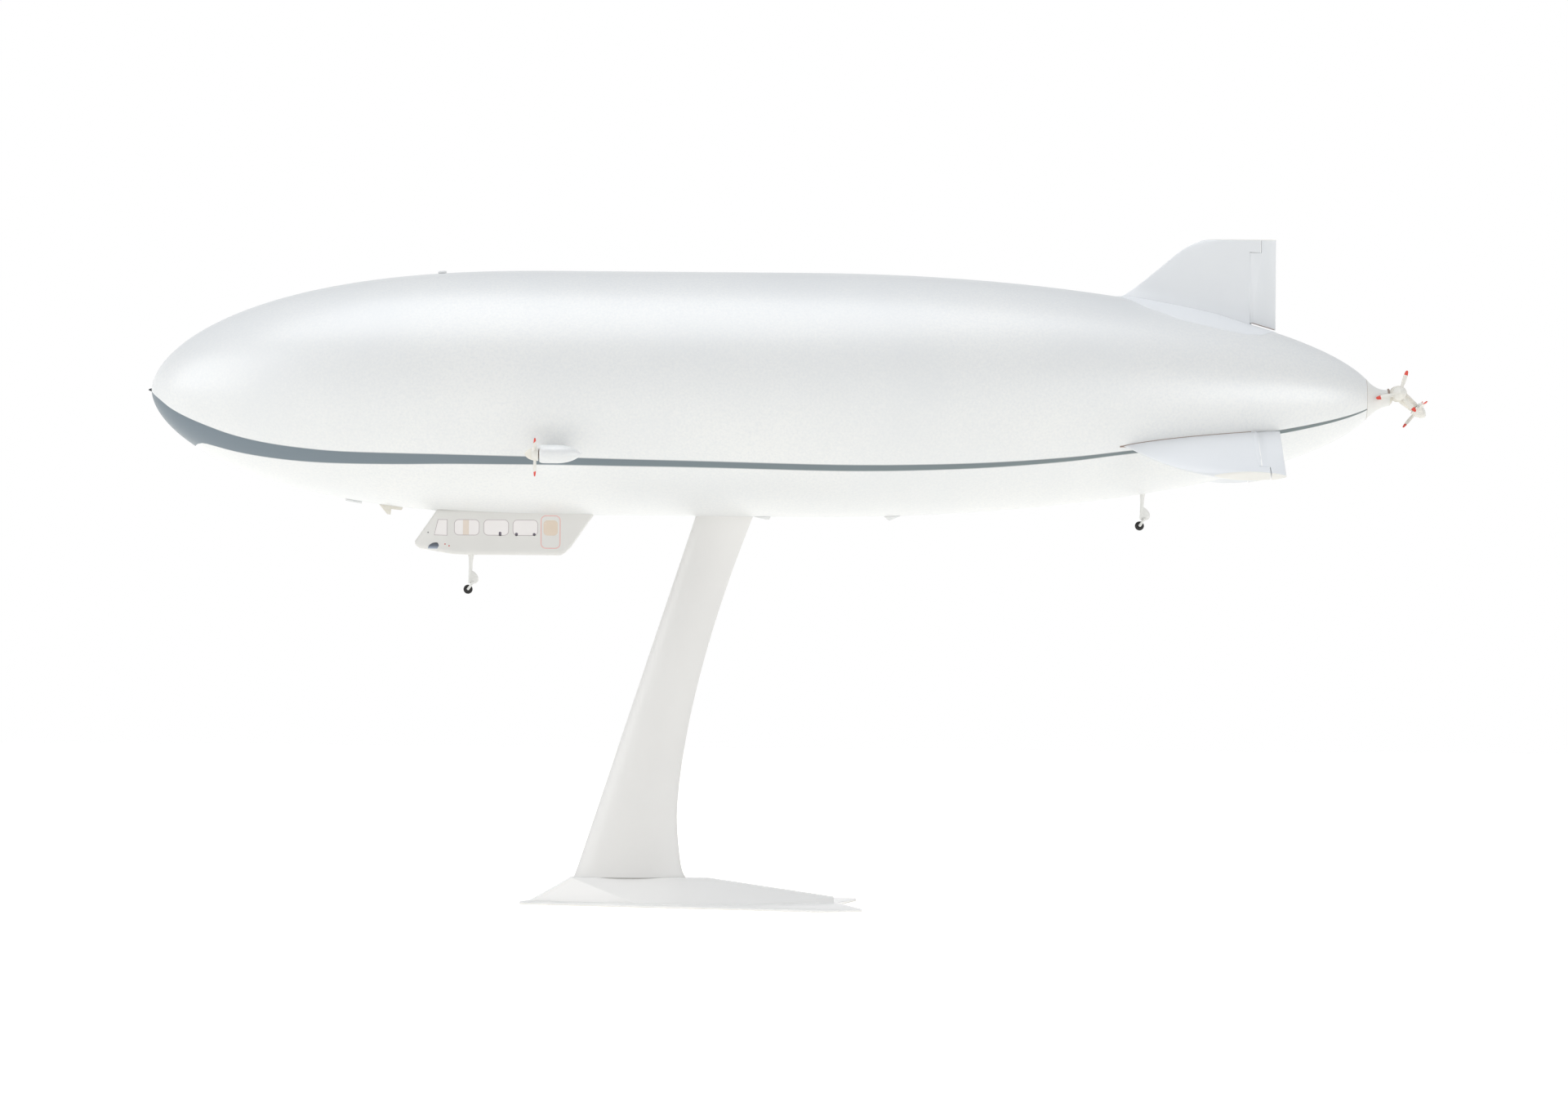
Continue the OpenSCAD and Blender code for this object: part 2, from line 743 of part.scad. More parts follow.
module on_side(side) {
    if (side == port) mirror([0, 1, 0]) children();
    else children();
}

module at_engine() {
    at_hull() translate([nac_x, nac_y, nac_z]) children();
}

module outrigger_peg(gap) {
    translate([nac_x, hull_side - 3 * hull_wall, nac_z]) rod_y(outrigger_peg_r + gap, 4 * hull_wall);
}

module outrigger(side) color(pearl) on_side(side) at_hull() {
    difference() {
        translate([nac_x, outrigger_end, nac_z]) rotate([90, 0, 0])
            linear_extrude(outrigger_end - hull_side + 2 * hull_wall) lens(outrigger_chord, outrigger_t);
        hull_solid(seat_gap);
    }
    outrigger_peg(0);
    translate([nac_x, outrigger_end - over, nac_z]) rod_y(swivel_r, swivel_len + over);
}

nac_profile = concat(
    [[0, -nac_front], [nac_lip_r, -nac_front], [nac_r, nac_lip_l - nac_front]],
    [for (i = [0:nac_steps - 1]) let (f = i / nac_steps)
        [nac_r * pow(1 - pow(f, nac_taper), nac_round), nac_rear * f]],
    [[nac_end_r, nac_rear], [0, nac_rear]]);

module nacelle(side) color(pearl) on_side(side) at_engine() difference() {
    revolve(nac_profile);
    translate([0, -nac_r - over, 0]) rod_y(swivel_r + run_gap, swivel_len + over + run_gap);
    translate([-nac_front - over, 0, 0]) rod_x(shaft_r + press_gap, nac_shaft_depth + over);
}

module prop_shaft(side) color(steel) on_side(side) at_engine() {
    shaft_front = -nac_front - clear_gap - prop_hub_l + 2 * run_gap;
    translate([shaft_front, 0, 0]) rod_x(shaft_r, nac_shaft_depth - nac_front - shaft_front - peg_gap);
}

module side_propeller(side) on_side(side) at_engine() {
    translate([-nac_front - clear_gap, 0, 0]) propeller(side_prop_angle, shaft_r, false);
}

module spinner(side) color(ivory) on_side(side) at_engine() {
    translate([-nac_front - clear_gap, 0, 0]) dome();
}

module port_outrigger() outrigger(port);

module starboard_outrigger() outrigger(starboard);

module port_nacelle() nacelle(port);

module starboard_nacelle() nacelle(starboard);

module port_prop_shaft() prop_shaft(port);

module starboard_prop_shaft() prop_shaft(starboard);

module port_propeller() side_propeller(port);

module starboard_propeller() side_propeller(starboard);

module port_spinner() spinner(port);

module starboard_spinner() spinner(starboard);

// Tail drive

cone_profile = concat(
    [[0, 0]],
    [for (i = [0:cone_steps]) let (f = i / cone_steps)
        [cone_end_r + (seam_r - cone_end_r) * pow(1 - f, cone_power), cone_len * f]],
    [[0, cone_len]]);

module tail_cone() color(pearl) at_hull() difference() {
    union() {
        translate([seam_x, 0, 0]) revolve(cone_profile);
        translate([seam_x - cone_peg_len, 0, 0]) rod_x(cone_peg_r, cone_peg_len + over);
    }
    translate([cone_end_x - peg_len, 0, neck_z]) rod_x(neck_peg_r + peg_gap, peg_len + over);
}

module at_cross_shaft() {
    at_hull() translate([cross_x, 0, gear_z]) children();
}

module tail_gearbox() color(pearl) at_cross_shaft() difference() {
    union() {
        translate([0, -gear_w / 2, 0]) rod_y(gear_r, gear_w);
        translate([-gear_x, 0, neck_z - gear_z]) rod_x(neck_r, gear_x);
        translate([-gear_x - peg_len + seat_gap, 0, neck_z - gear_z]) rod_x(neck_peg_r, peg_len + over);
    }
    translate([0, -gear_w, 0]) rod_y(cross_r + press_gap, 2 * gear_w);
}

module tail_cross_shaft() color(steel) at_cross_shaft() {
    port_end = lateral_y + prop_hub_l - 2 * run_gap;
    translate([0, -port_end, 0]) rod_y(cross_r, port_end + arm_y + arm_t);
}

module lateral_propeller() at_cross_shaft() translate([0, -lateral_y, 0]) rotate([0, 0, 90])
    propeller(lateral_prop_angle, cross_r, true);

// Turns its children down from straight aft round the cross shaft
module rear_tilt() {
    at_cross_shaft() rotate([0, rear_angle, 0]) children();
}

module rear_swivel_housing() color(pearl) rear_tilt() difference() {
    union() {
        for (side = [-1, 1]) translate([0, side * (arm_y + arm_t / 2), 0]) {
            translate([0, -arm_t / 2, 0]) rod_y(arm_r, arm_t);
            translate([0, -arm_t / 2, -arm_r]) cube([bridge_x + bridge_l, arm_t, 2 * arm_r]);
        }
        translate([bridge_x, -arm_y - arm_t, -arm_r]) cube([bridge_l, 2 * (arm_y + arm_t), 2 * arm_r]);
        translate([bridge_x, 0, 0]) rod_x(pod_r, rear_len - bridge_x);
    }
    translate([0, -2 * gear_w, 0]) rod_y(cross_r + run_gap, 4 * gear_w);
    translate([bridge_x - over, 0, 0]) rod_x(shaft_r + press_gap, rear_len);
}

module rear_prop_shaft() color(steel) rear_tilt() {
    shaft_end = rear_len + clear_gap + prop_hub_l - 2 * run_gap;
    translate([bridge_x, 0, 0]) rod_x(shaft_r, shaft_end - bridge_x);
}

module rear_propeller() rear_tilt() translate([rear_len + clear_gap, 0, 0]) mirror([1, 0, 0])
    propeller(rear_prop_angle, shaft_r, true);

// Gondola, in the hull's frame

function gond_side(inset) = [
    [gond_x + inset, gond_bottom + chin_h],
    [gond_x + inset + gond_rake * (gond_top - gond_bottom - chin_h), gond_top],
    [gond_rear - inset + gond_rake * gond_sink, gond_top],
    [heel_x - inset, gond_bottom + heel_h],
    [heel_x - inset - heel_l, gond_bottom + inset],
    [gond_x + inset + chin_end, gond_bottom + inset],
    [gond_x + inset + chin_l, gond_bottom + chin_low + inset]];
function gond_half_plan(inset) = [
    [gond_x + inset, gond_nose_w / 2],
    [gond_x + gond_nose_l, gond_w / 2 - inset],
    [gond_x + gond_taper_x, gond_w / 2 - inset],
    [gond_rear + gond_sink, gond_rear_w / 2 - inset]];
function gond_plan(inset) = concat(
    gond_half_plan(inset),
    [for (p = reversed(gond_half_plan(inset))) [p[0], -p[1]]]);

module gond_body(inset) {
    intersection() {
        side_cut(gond_side(inset), 2 * gond_w);
        translate([0, 0, gond_bottom - over]) linear_extrude(gond_h + gond_sink + 2 * over)
            polygon(gond_plan(inset));
    }
}

module gond_walls() {
    difference() {
        gond_body(0);
        gond_body(gond_wall);
        hull_solid(seat_gap);
    }
}

// A window's prism through one wall, shrunk by a gap
module side_window(side, x, w, gap) {
    translate([gond_x + x, side * gond_w / 2, gond_bottom + window_z]) rotate([90, 0, 0])
        linear_extrude(4 * gond_wall, center = true)
            rounded_rect(w - 2 * gap, window_h - 2 * gap, window_round);
}

module side_windows(side, gap) {
    for (i = [0:window_count - 1]) side_window(side, window_x + i * window_pitch, window_w, gap);
    side_window(side, door_x, door_window_w, gap);
}

module quarter_window(side, gap) {
    low = gond_bottom + window_z - window_h / 2 + gap;
    high = gond_bottom + window_z + window_h / 2 - gap;
    front = gond_x + quarter_x + gap;
    rear = gond_x + quarter_x + quarter_w - gap;
    translate([0, side * gond_w / 2, 0]) side_cut([
        [front, low], [rear, low], [rear, high],
        [front + quarter_slant * (high - low), high]], gond_w - 2 * over);
}

module windscreen_prism(gap) {
    w = gond_nose_w - 2 * (screen_frame + gap);
    low = gond_bottom + window_z - window_h / 2 + gap;
    translate([gond_x - over, -w / 2, low]) cube([gond_nose_l, w, window_h - 2 * gap]);
}

module door_plate(gap) {
    translate([gond_x + door_x - door_w / 2 - gap, -gond_w / 2 - over, gond_floor + door_sill - gap])
        cube([door_w + 2 * gap, over + door_t + gap, door_h + 2 * gap]);
}

module gondola_shell() color(pearl) at_hull() difference() {
    gond_walls();
    translate([gond_x - over, -gond_w, gond_bottom - over]) cube([2 * gond_len, 2 * gond_w, floor_h + over]);
    for (side = [-1, 1]) {
        side_windows(side, 0);
        quarter_window(side, 0);
    }
    windscreen_prism(0);
    door_plate(peg_gap);
}

module gondola_floor() color(pearl) at_hull() difference() {
    gond_body(0);
    translate([gond_x - over, -gond_w, gond_floor]) cube([2 * gond_len, 2 * gond_w, 2 * gond_h]);
    translate([gond_x + front_gear_x, 0, front_axle_z]) leg_peg(front_drop, peg_gap);
}

module cabin_seats() color("tan") at_hull() {
    seat_l = 2.4;
    seat_h = 1.8;
    back_t = 0.6;
    aisle = 1.6;
    plinth_t = 0.4;
    row_pitch = 0.8 * window_pitch;
    strip_x = gond_x + window_x - window_w / 2;
    translate([strip_x, -aisle / 2 - seat_w, gond_floor])
        cube([seat_rows * row_pitch, 2 * seat_w + aisle, plinth_t]);
    for (i = [0:seat_rows - 1], y = [-aisle / 2 - seat_w, aisle / 2])
        translate([strip_x + (i + 0.4) * row_pitch, y, gond_floor]) {
            cube([seat_l, seat_w, seat_h]);
            translate([seat_l, 0, 0]) cube([back_t, seat_w, seat_back_h]);
        }
}

module cabin_door() color(pearl) at_hull() difference() {
    intersection() {
        door_plate(0);
        gond_body(0);
    }
    side_windows(port, 0);
}

module glazing(side) color(clear_grey) at_hull() {
    strip_x = gond_x + window_x - window_w / 2 - glazing_lap;
    strip_end = gond_x + door_x + door_window_w / 2 + glazing_lap;
    strip_h = window_h + 2 * glazing_lap;
    strip_y = gond_w / 2 - gond_wall - seat_gap;
    translate([strip_x, side > 0 ? strip_y - glazing_t : -strip_y, gond_bottom + window_z - strip_h / 2])
        cube([strip_end - strip_x, glazing_t, strip_h]);
    intersection() {
        side_windows(side, peg_gap);
        translate([strip_x, side > 0 ? strip_y - glazing_t : -gond_w / 2, gond_bottom])
            cube([strip_end - strip_x, glazing_t + gond_wall + seat_gap, gond_h]);
    }
}

module quarter_pane(side) color(clear_grey) at_hull() intersection() {
    gond_walls();
    quarter_window(side, peg_gap);
}

module port_glazing() glazing(port);

module starboard_glazing() glazing(starboard);

module port_quarter_pane() quarter_pane(port);

module starboard_quarter_pane() quarter_pane(starboard);

module windscreen() color(clear_grey) at_hull() intersection() {
    gond_walls();
    windscreen_prism(peg_gap);
}

// Landing gear, built over the axle's middle

module leg_peg(drop, gap) {
    translate([leg_shift, 0, crown_z]) cylinder(r = leg_r + gap, h = drop - crown_z + leg_peg_l + gap);
}

module gear_leg(drop) color(ivory) difference() {
    union() {
        leg_peg(drop, 0);
        translate([leg_shift - leg_r, -fork_y - fork_t, crown_z])
            cube([2 * leg_r, 2 * (fork_y + fork_t), crown_t]);
        for (side = [-1, 1]) translate([0, side * (fork_y + fork_t / 2) - fork_t / 2, 0]) {
            rod_y(fork_r, fork_t);
            rotate([0, fork_slant, 0]) translate([-fork_r, 0, 0]) cube([2 * fork_r, fork_t, fork_l]);
        }
        translate([link_x, -link_t / 2, link_z]) rod_y(link_r, link_t);
    }
    translate([0, -2 * wheel_w, 0]) rod_y(axle_r + press_gap, 4 * wheel_w);
}

module axle() color(steel) {
    translate([0, -fork_y - fork_t, 0]) rod_y(axle_r, 2 * (fork_y + fork_t));
}

module wheel_hub() color(ivory) translate([0, -wheel_w / 2, 0]) difference() {
    rod_y(wheel_hub_r, wheel_w);
    translate([0, -over, 0]) rod_y(axle_r + run_gap, wheel_w + 2 * over);
}

module tyre() color(black) rotate([90, 0, 0]) rotate_extrude() {
    shoulder = 0.3 * wheel_w;
    side = wheel_w / 2;
    polygon([
        [wheel_hub_r, -side], [wheel_r - shoulder, -side], [wheel_r, shoulder - side],
        [wheel_r, side - shoulder], [wheel_r - shoulder, side], [wheel_hub_r, side]]);
}

module at_front_axle() {
    at_hull() translate([gond_x + front_gear_x, 0, front_axle_z]) children();
}

module at_rear_axle() {
    at_hull() translate([rear_leg_x, 0, rear_axle_z]) children();
}

module front_gear_leg() at_front_axle() gear_leg(front_drop);

module front_axle() at_front_axle() axle();

module front_wheel_hub() at_front_axle() wheel_hub();

module front_tyre() at_front_axle() tyre();

module rear_gear_leg() at_rear_axle() gear_leg(rear_drop);

module rear_axle() at_rear_axle() axle();

module rear_wheel_hub() at_rear_axle() wheel_hub();

module rear_tyre() at_rear_axle() tyre();

stand_base();
stand_pylon();
hull_port_shell();
hull_starboard_shell();
joining_ring(ring_places[0]);  // front_joining_ring
joining_ring(ring_places[1]);  // rear_joining_ring
stand_socket();
nose_cap();
nose_probe();
top_valve_cover();
keel_plate();
keel_antenna();
front_keel_vent();
rear_keel_vent();
top_fin();
port_fin();
starboard_fin();
rudder();
port_elevator();
starboard_elevator();
rudder_pin();
port_elevator_pin();
starboard_elevator_pin();
port_outrigger();
starboard_outrigger();
port_nacelle();
starboard_nacelle();
port_prop_shaft();
starboard_prop_shaft();
port_propeller();
starboard_propeller();
port_spinner();
starboard_spinner();
tail_cone();
tail_gearbox();
tail_cross_shaft();
lateral_propeller();
rear_swivel_housing();
rear_prop_shaft();
rear_propeller();
gondola_shell();
gondola_floor();
cabin_seats();
cabin_door();
port_glazing();
starboard_glazing();
port_quarter_pane();
starboard_quarter_pane();
windscreen();
front_gear_leg();
front_axle();
front_wheel_hub();
front_tyre();
rear_gear_leg();
rear_axle();
rear_wheel_hub();
rear_tyre();
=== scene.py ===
import json
import math
import bmesh
import bpy
from mathutils import Matrix, Vector


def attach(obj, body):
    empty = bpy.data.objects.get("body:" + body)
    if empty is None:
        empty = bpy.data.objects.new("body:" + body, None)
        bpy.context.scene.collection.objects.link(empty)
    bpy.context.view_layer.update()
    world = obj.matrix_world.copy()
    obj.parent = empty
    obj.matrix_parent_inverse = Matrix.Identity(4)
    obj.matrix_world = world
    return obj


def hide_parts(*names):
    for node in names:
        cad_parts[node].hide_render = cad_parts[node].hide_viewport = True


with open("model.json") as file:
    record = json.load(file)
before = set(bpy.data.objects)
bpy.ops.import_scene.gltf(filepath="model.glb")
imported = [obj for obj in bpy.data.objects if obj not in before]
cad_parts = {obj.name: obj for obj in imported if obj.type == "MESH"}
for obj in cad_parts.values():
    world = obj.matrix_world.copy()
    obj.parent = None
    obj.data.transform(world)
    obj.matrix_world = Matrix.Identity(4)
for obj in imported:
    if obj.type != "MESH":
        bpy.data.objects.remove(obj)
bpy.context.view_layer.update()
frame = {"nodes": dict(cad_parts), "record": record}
print("frame loaded:", len(frame["nodes"]), "nodes")

mm = 0.001
axisZ = 150      # height of the hull's axis over the table
noseX = -158     # where the nose tip is
alongX = Vector((1, 0, 0))
alongY = Vector((0, 1, 0))
sides = (("port", -1), ("starboard", 1))


def blendTo(first, second, f):
    return first + (second - first) * f


def clamp(value):
    return min(1, max(0, value))


def signedPower(value, power):
    return math.copysign(abs(value) ** power, value)


# even steps from one value to another, with both ends
def spread(first, second, count):
    return [blendTo(first, second, i / count) for i in range(count + 1)]


# steps from 0 to 1 that close up towards 1
def easedSteps(count):
    return [math.sin(math.pi / 2 * i / count) for i in range(count + 1)]


def fullTurn(count):
    return [2 * math.pi * i / count for i in range(count)]


# hull outline, as distance from the nose tip and radius in mm
hull = {"radius": 35.85, "noseLength": 122, "nosePower": 2.5, "noseRound": 1.8, "tailStart": 193,
        "tailLength": 167, "tailRound": 1.82, "capSeam": 1.7, "tailSeam": 356.7, "segments": 144,
        "steps": 44, "middleSteps": 8, "capSegments": 96, "capSteps": 10,
        "probe": [(1.5, 0.45), (0.1, 0.45), (-0.25, 0.4), (-0.6, 0.28), (-0.9, 0.1)],
        "slotLow": (5.42, -1.88, 100), "slotHigh": (15.18, 1.88, 124.5)}


def hullRadius(x):
    if x < hull["noseLength"]:
        share = max(0, 1 - (1 - x / hull["noseLength"]) ** hull["nosePower"])
        return hull["radius"] * share ** (1 / hull["noseRound"])
    share = max(0, 1 - (max(0, x - hull["tailStart"]) / hull["tailLength"]) ** 2)
    return hull["radius"] * share ** (1 / hull["tailRound"])


# materials

bumpDepth = 0.2 * mm


def fromHex(code):
    parts = [int(code[i:i + 2], 16) / 255 for i in (1, 3, 5)]
    return [c / 12.92 if c <= 0.04045 else ((c + 0.055) / 1.055) ** 2.4 for c in parts] + [1]


# a socket takes a value, a colour code, another socket or the first output of a node
def fillNode(tree, node, inputs):
    for key, value in inputs.items():
        if isinstance(value, str):
            value = fromHex(value)
        if isinstance(value, bpy.types.Node):
            value = value.outputs[0]
        if isinstance(value, bpy.types.NodeSocket):
            tree.links.new(value, node.inputs[key])
        else:
            node.inputs[key].default_value = value


def addNode(tree, kind, inputs=None, **settings):
    node = tree.nodes.new("ShaderNode" + kind)
    for key, value in settings.items():
        setattr(node, key, value)
    fillNode(tree, node, inputs or {})
    return node


def blendColours(tree, factor, first, second):
    return addNode(tree, "Mix", {0: factor, 6: first, 7: second}, data_type="RGBA").outputs[2]


def startMaterial(name):
    material = bpy.data.materials.new(name)
    material.use_nodes = True
    tree = material.node_tree
    coords = addNode(tree, "TexCoord").outputs["Object"]
    return material, tree, tree.nodes["Principled BSDF"], coords


# a point's place along the hull, how far it lies below the axis, and its distance from the axis
def axisPlace(tree, coords):
    place = addNode(tree, "SeparateXYZ", {0: coords})
    drop = addNode(tree, "Math", {0: axisZ * mm, 1: place.outputs["Z"]}, operation="SUBTRACT")
    across = addNode(tree, "CombineXYZ", {"X": 0.0, "Y": place.outputs["Y"], "Z": drop})
    reach = addNode(tree, "VectorMath", {0: across}, operation="LENGTH")
    return place.outputs["X"], drop, reach.outputs["Value"]


# the band's edges: distance from the nose tip, and how far below the middle as a share of the radius
stripe = {"colour": "#6f7c86", "aftColour": "#727d7e", "soft": 0.006, "length": 360, "tallest": 1.1,
          "upper": [(0, 0.30), (3.1, 0.40), (7.9, 0.51), (17.5, 0.563), (27, 0.591), (46, 0.584),
                    (75, 0.542), (94, 0.531), (147, 0.552), (219, 0.585), (267, 0.571), (285, 0.546),
                    (339, 0.484), (360, 0.47)],
          "lower": [(0, 1.08), (11.5, 1.06), (13, 0.99), (17.5, 0.84), (27, 0.786), (46, 0.715),
                    (75, 0.634), (94, 0.605), (147, 0.606), (219, 0.633), (267, 0.609), (285, 0.579),
                    (339, 0.543), (360, 0.53)]}
pearl = {"pale": "#e9eae9", "deep": "#e2e4e5", "flake": 0.7, "cloud": 40, "spread": (0.12, 0.4),
         "bump": 0.04, "roughness": 0.42, "coat": 0.2, "coatRoughness": 0.16, "metallic": 0.12}


def stripeCurve(tree, position, points):
    curve = addNode(tree, "FloatCurve", {"Value": position})
    line = curve.mapping.curves[0]
    for place, height in points[1:-1]:
        line.points.new(place / stripe["length"], height / stripe["tallest"])
    line.points[0].location = (0, points[0][1] / stripe["tallest"])
    line.points[-1].location = (1, points[-1][1] / stripe["tallest"])
    curve.mapping.update()
    return addNode(tree, "Math", {0: curve, 1: stripe["tallest"]}, operation="MULTIPLY")


# pearl lacquer sprayed on moulded ABS: broad soft highlights, a fine flake and a slate band below the middle
def pearlLacquer(name, banded):
    material, tree, shader, coords = startMaterial(name)
    flake = addNode(tree, "TexNoise", {"Vector": coords, "Scale": 1 / (pearl["flake"] * mm), "Detail": 1.0})
    cloud = addNode(tree, "TexNoise", {"Vector": coords, "Scale": 1 / (pearl["cloud"] * mm), "Detail": 2.0})
    share = addNode(tree, "Math", {0: flake, 1: cloud}, operation="MULTIPLY")
    low, high = pearl["spread"]
    factor = addNode(tree, "MapRange", {"Value": share, "From Min": low, "From Max": high})
    colour = blendColours(tree, factor, pearl["deep"], pearl["pale"])
    if banded:
        along, drop, reach = axisPlace(tree, coords)
        position = addNode(tree, "MapRange", {"Value": along, "From Min": noseX * mm,
                                              "From Max": (noseX + stripe["length"]) * mm})
        slope = addNode(tree, "Math", {0: drop, 1: reach}, operation="DIVIDE")
        edges = []
        for points in (stripe["upper"], stripe["lower"]):
            limit = stripeCurve(tree, position, points)
            past = addNode(tree, "Math", {0: slope, 1: limit}, operation="SUBTRACT")
            ends = {"Value": past, "From Min": -stripe["soft"], "From Max": stripe["soft"]}
            edges.append(addNode(tree, "MapRange", ends, interpolation_type="SMOOTHSTEP"))
        band = addNode(tree, "Math", {0: edges[0], 1: edges[1]}, operation="SUBTRACT")
        paint = blendColours(tree, position, stripe["colour"], stripe["aftColour"])
        colour = blendColours(tree, band, colour, paint)
    bump = addNode(tree, "Bump", {"Height": flake, "Strength": pearl["bump"], "Distance": bumpDepth})
    fillNode(tree, shader, {"Base Color": colour, "Normal": bump, "Roughness": pearl["roughness"],
                            "Metallic": pearl["metallic"], "Coat Weight": pearl["coat"],
                            "Coat Roughness": pearl["coatRoughness"]})
    return material


# moulded plastic: an even colour with faint flow marks and a fine mould texture that breaks the gloss
def mouldedPlastic(name, pale, deep, roughness, ior, grain=0.9, flow=22):
    material, tree, shader, coords = startMaterial(name)
    marks = addNode(tree, "TexNoise", {"Vector": coords, "Scale": 1 / (flow * mm), "Detail": 3.0})
    fine = addNode(tree, "TexNoise", {"Vector": coords, "Scale": 1 / (grain * mm), "Detail": 1.0})
    low, high = roughness * 0.85, roughness * 1.2
    gloss = addNode(tree, "MapRange", {"Value": marks, "To Min": low, "To Max": high})
    bump = addNode(tree, "Bump", {"Height": fine, "Strength": 0.03, "Distance": bumpDepth})
    fillNode(tree, shader, {"Base Color": blendColours(tree, marks, deep, pale), "Roughness": gloss,
                            "Normal": bump, "IOR": ior})
    return material


# ABS propellers: warm white mouldings whose blade ends are dipped in red
def tippedPlastic(name):
    material, tree, shader, coords = startMaterial(name)
    reach = addNode(tree, "Attribute", attribute_name="reach").outputs["Fac"]
    fine = addNode(tree, "TexNoise", {"Vector": coords, "Scale": 1 / (1.5 * mm), "Detail": 2.0})
    white = blendColours(tree, fine, "#e0ded6", "#e8e6e0")
    dipped = addNode(tree, "MapRange", {"Value": reach, "From Min": 0.79, "From Max": 0.81})
    bump = addNode(tree, "Bump", {"Height": fine, "Strength": 0.05, "Distance": bumpDepth})
    fillNode(tree, shader, {"Base Color": blendColours(tree, dipped, white, "#d9412f"), "Normal": bump,
                            "Roughness": 0.38, "IOR": 1.53})
    return material


# drawn steel: a fine mottle under tight bright highlights
# milky acrylic: a polished pane that lets only a little of the cabin show through its pale body
def mottledSurface(name, deep, pale, grain, low, high, more):
    material, tree, shader, coords = startMaterial(name)
    mottle = addNode(tree, "TexNoise", {"Vector": coords, "Scale": 1 / (grain * mm), "Detail": 2.0})
    gloss = addNode(tree, "MapRange", {"Value": mottle, "To Min": low, "To Max": high})
    fillNode(tree, shader, {"Base Color": blendColours(tree, mottle, deep, pale), "Roughness": gloss, **more})
    return material


# lacquered fin blades: even cool white faces, and flat ends in a paler, warmer white
def finPaint(name, tip):
    material, tree, shader, coords = startMaterial(name)
    marks = addNode(tree, "TexNoise", {"Vector": coords, "Scale": 1 / (22 * mm), "Detail": 3.0})
    fine = addNode(tree, "TexNoise", {"Vector": coords, "Scale": 1 / (0.9 * mm), "Detail": 1.0})
    face = blendColours(tree, marks, "#dfe2e5", "#e7e9eb")
    reach = axisPlace(tree, coords)[2]
    low, high = (tip - 0.2) * mm, (tip - 0.14) * mm
    end = addNode(tree, "MapRange", {"Value": reach, "From Min": low, "From Max": high})
    bump = addNode(tree, "Bump", {"Height": fine, "Strength": 0.03, "Distance": bumpDepth})
    fillNode(tree, shader, {"Base Color": blendColours(tree, end, face, "#ebeae5"), "Normal": bump,
                            "Roughness": 0.34, "IOR": 1.53})
    return material


# dark glass in the chin: nearly black along its top, and paler and bluer below, a painted reflection of the
# floor
def chinGlass(name, low, high):
    material, tree, shader, coords = startMaterial(name)
    haze = addNode(tree, "TexNoise", {"Vector": coords, "Scale": 1 / (1.5 * mm), "Detail": 2.0})
    height = addNode(tree, "SeparateXYZ", {0: coords}).outputs["Z"]
    middle = blendTo(low, high, 0.45)
    lower = addNode(tree, "MapRange", {"Value": height, "From Min": low * mm, "From Max": middle * mm})
    upper = addNode(tree, "MapRange", {"Value": height, "From Min": middle * mm, "From Max": high * mm})
    slate = blendColours(tree, haze, "#565d6b", "#666e7d")
    colour = blendColours(tree, lower, "#a9b3c3", slate)
    colour = blendColours(tree, upper, colour, "#43474a")
    fillNode(tree, shader, {"Base Color": colour, "Roughness": 0.2, "IOR": 1.5})
    return material


bandedPearl = pearlLacquer("pearl_lacquer_banded", True)
plainPearl = pearlLacquer("pearl_lacquer", False)
finLacquer = finPaint("white_lacquered_abs", 46.7)
# the base plate is the arm's white polystyrene, polished, and painted paler to stand in for the brighter
# light that falls on it
brightenedBaseGloss = mouldedPlastic("polished_white_polystyrene_painted_lighter", "#f6f5f3", "#f0efed", 0.14, 1.59, flow=30)
standGloss = mouldedPlastic("moulded_white_polystyrene", "#eae9e7", "#e2e1df", 0.34, 1.59, flow=30)
gondolaPaint = mouldedPlastic("gloss_white_paint_on_abs", "#e1e0dd", "#dad9d6", 0.3, 1.5)
warmAbs = mouldedPlastic("moulded_ivory_abs", "#e6e3da", "#dbd7cc", 0.38, 1.53, flow=6)
propAbs = tippedPlastic("moulded_ivory_abs_red_tips")
whiteAbs = mouldedPlastic("moulded_white_abs", "#e9e9e6", "#dfdfdc", 0.38, 1.53, flow=6)
# white for the hinge strips, a painted highlight where the rounded front edge of each elevator catches the
# light
hingeHighlightWhite = mouldedPlastic("white_painted_hinge_highlight", "#fbfbf9", "#f5f5f3", 0.3, 1.5, flow=4)
tyreRubber = mouldedPlastic("black_rubber", "#131112", "#0b0a0a", 0.6, 1.52, grain=0.3, flow=2)
blackAbs = mouldedPlastic("black_moulded_abs", "#1b191a", "#121011", 0.4, 1.53, grain=0.3, flow=1)
steelWire = mottledSurface("drawn_steel", "#9c9fa3", "#c3c6c9", 0.4, 0.22, 0.4, {"Metallic": 1.0})
milkyPane = mottledSurface("milky_acrylic", "#f1edec", "#f6f3f2", 4, 0.08, 0.16,
                           {"IOR": 1.49, "Transmission Weight": 0.05})
darkAbs = mouldedPlastic("dark_moulded_abs", "#3c4147", "#2d3136", 0.5, 1.53, grain=0.4, flow=3)
seatFlock = mouldedPlastic("grey_moulded_seats", "#9b958f", "#837d78", 0.6, 1.5, flow=4)
greyLine = mouldedPlastic("grey_printed_line", "#bbb1b4", "#aea4a8", 0.45, 1.5, flow=3)
redLine = mouldedPlastic("red_printed_line", "#ebb8b3", "#e4a9a3", 0.45, 1.5, flow=3)
redLens = mouldedPlastic("red_lens", "#d2695f", "#c4564d", 0.2, 1.5, flow=1)
tanPane = mouldedPlastic("tan_door_pane", "#e3d5c5", "#d8c8b6", 0.25, 1.5, flow=3)
paleTan = mouldedPlastic("pale_tan_frame", "#e6dbd0", "#dccfc2", 0.3, 1.5, flow=3)
slatePane = chinGlass("slate_chin_pane", 104.05, 105.8)
seatDark = mouldedPlastic("dark_seat_tops", "#77717c", "#5d5762", 0.5, 1.5, flow=1)
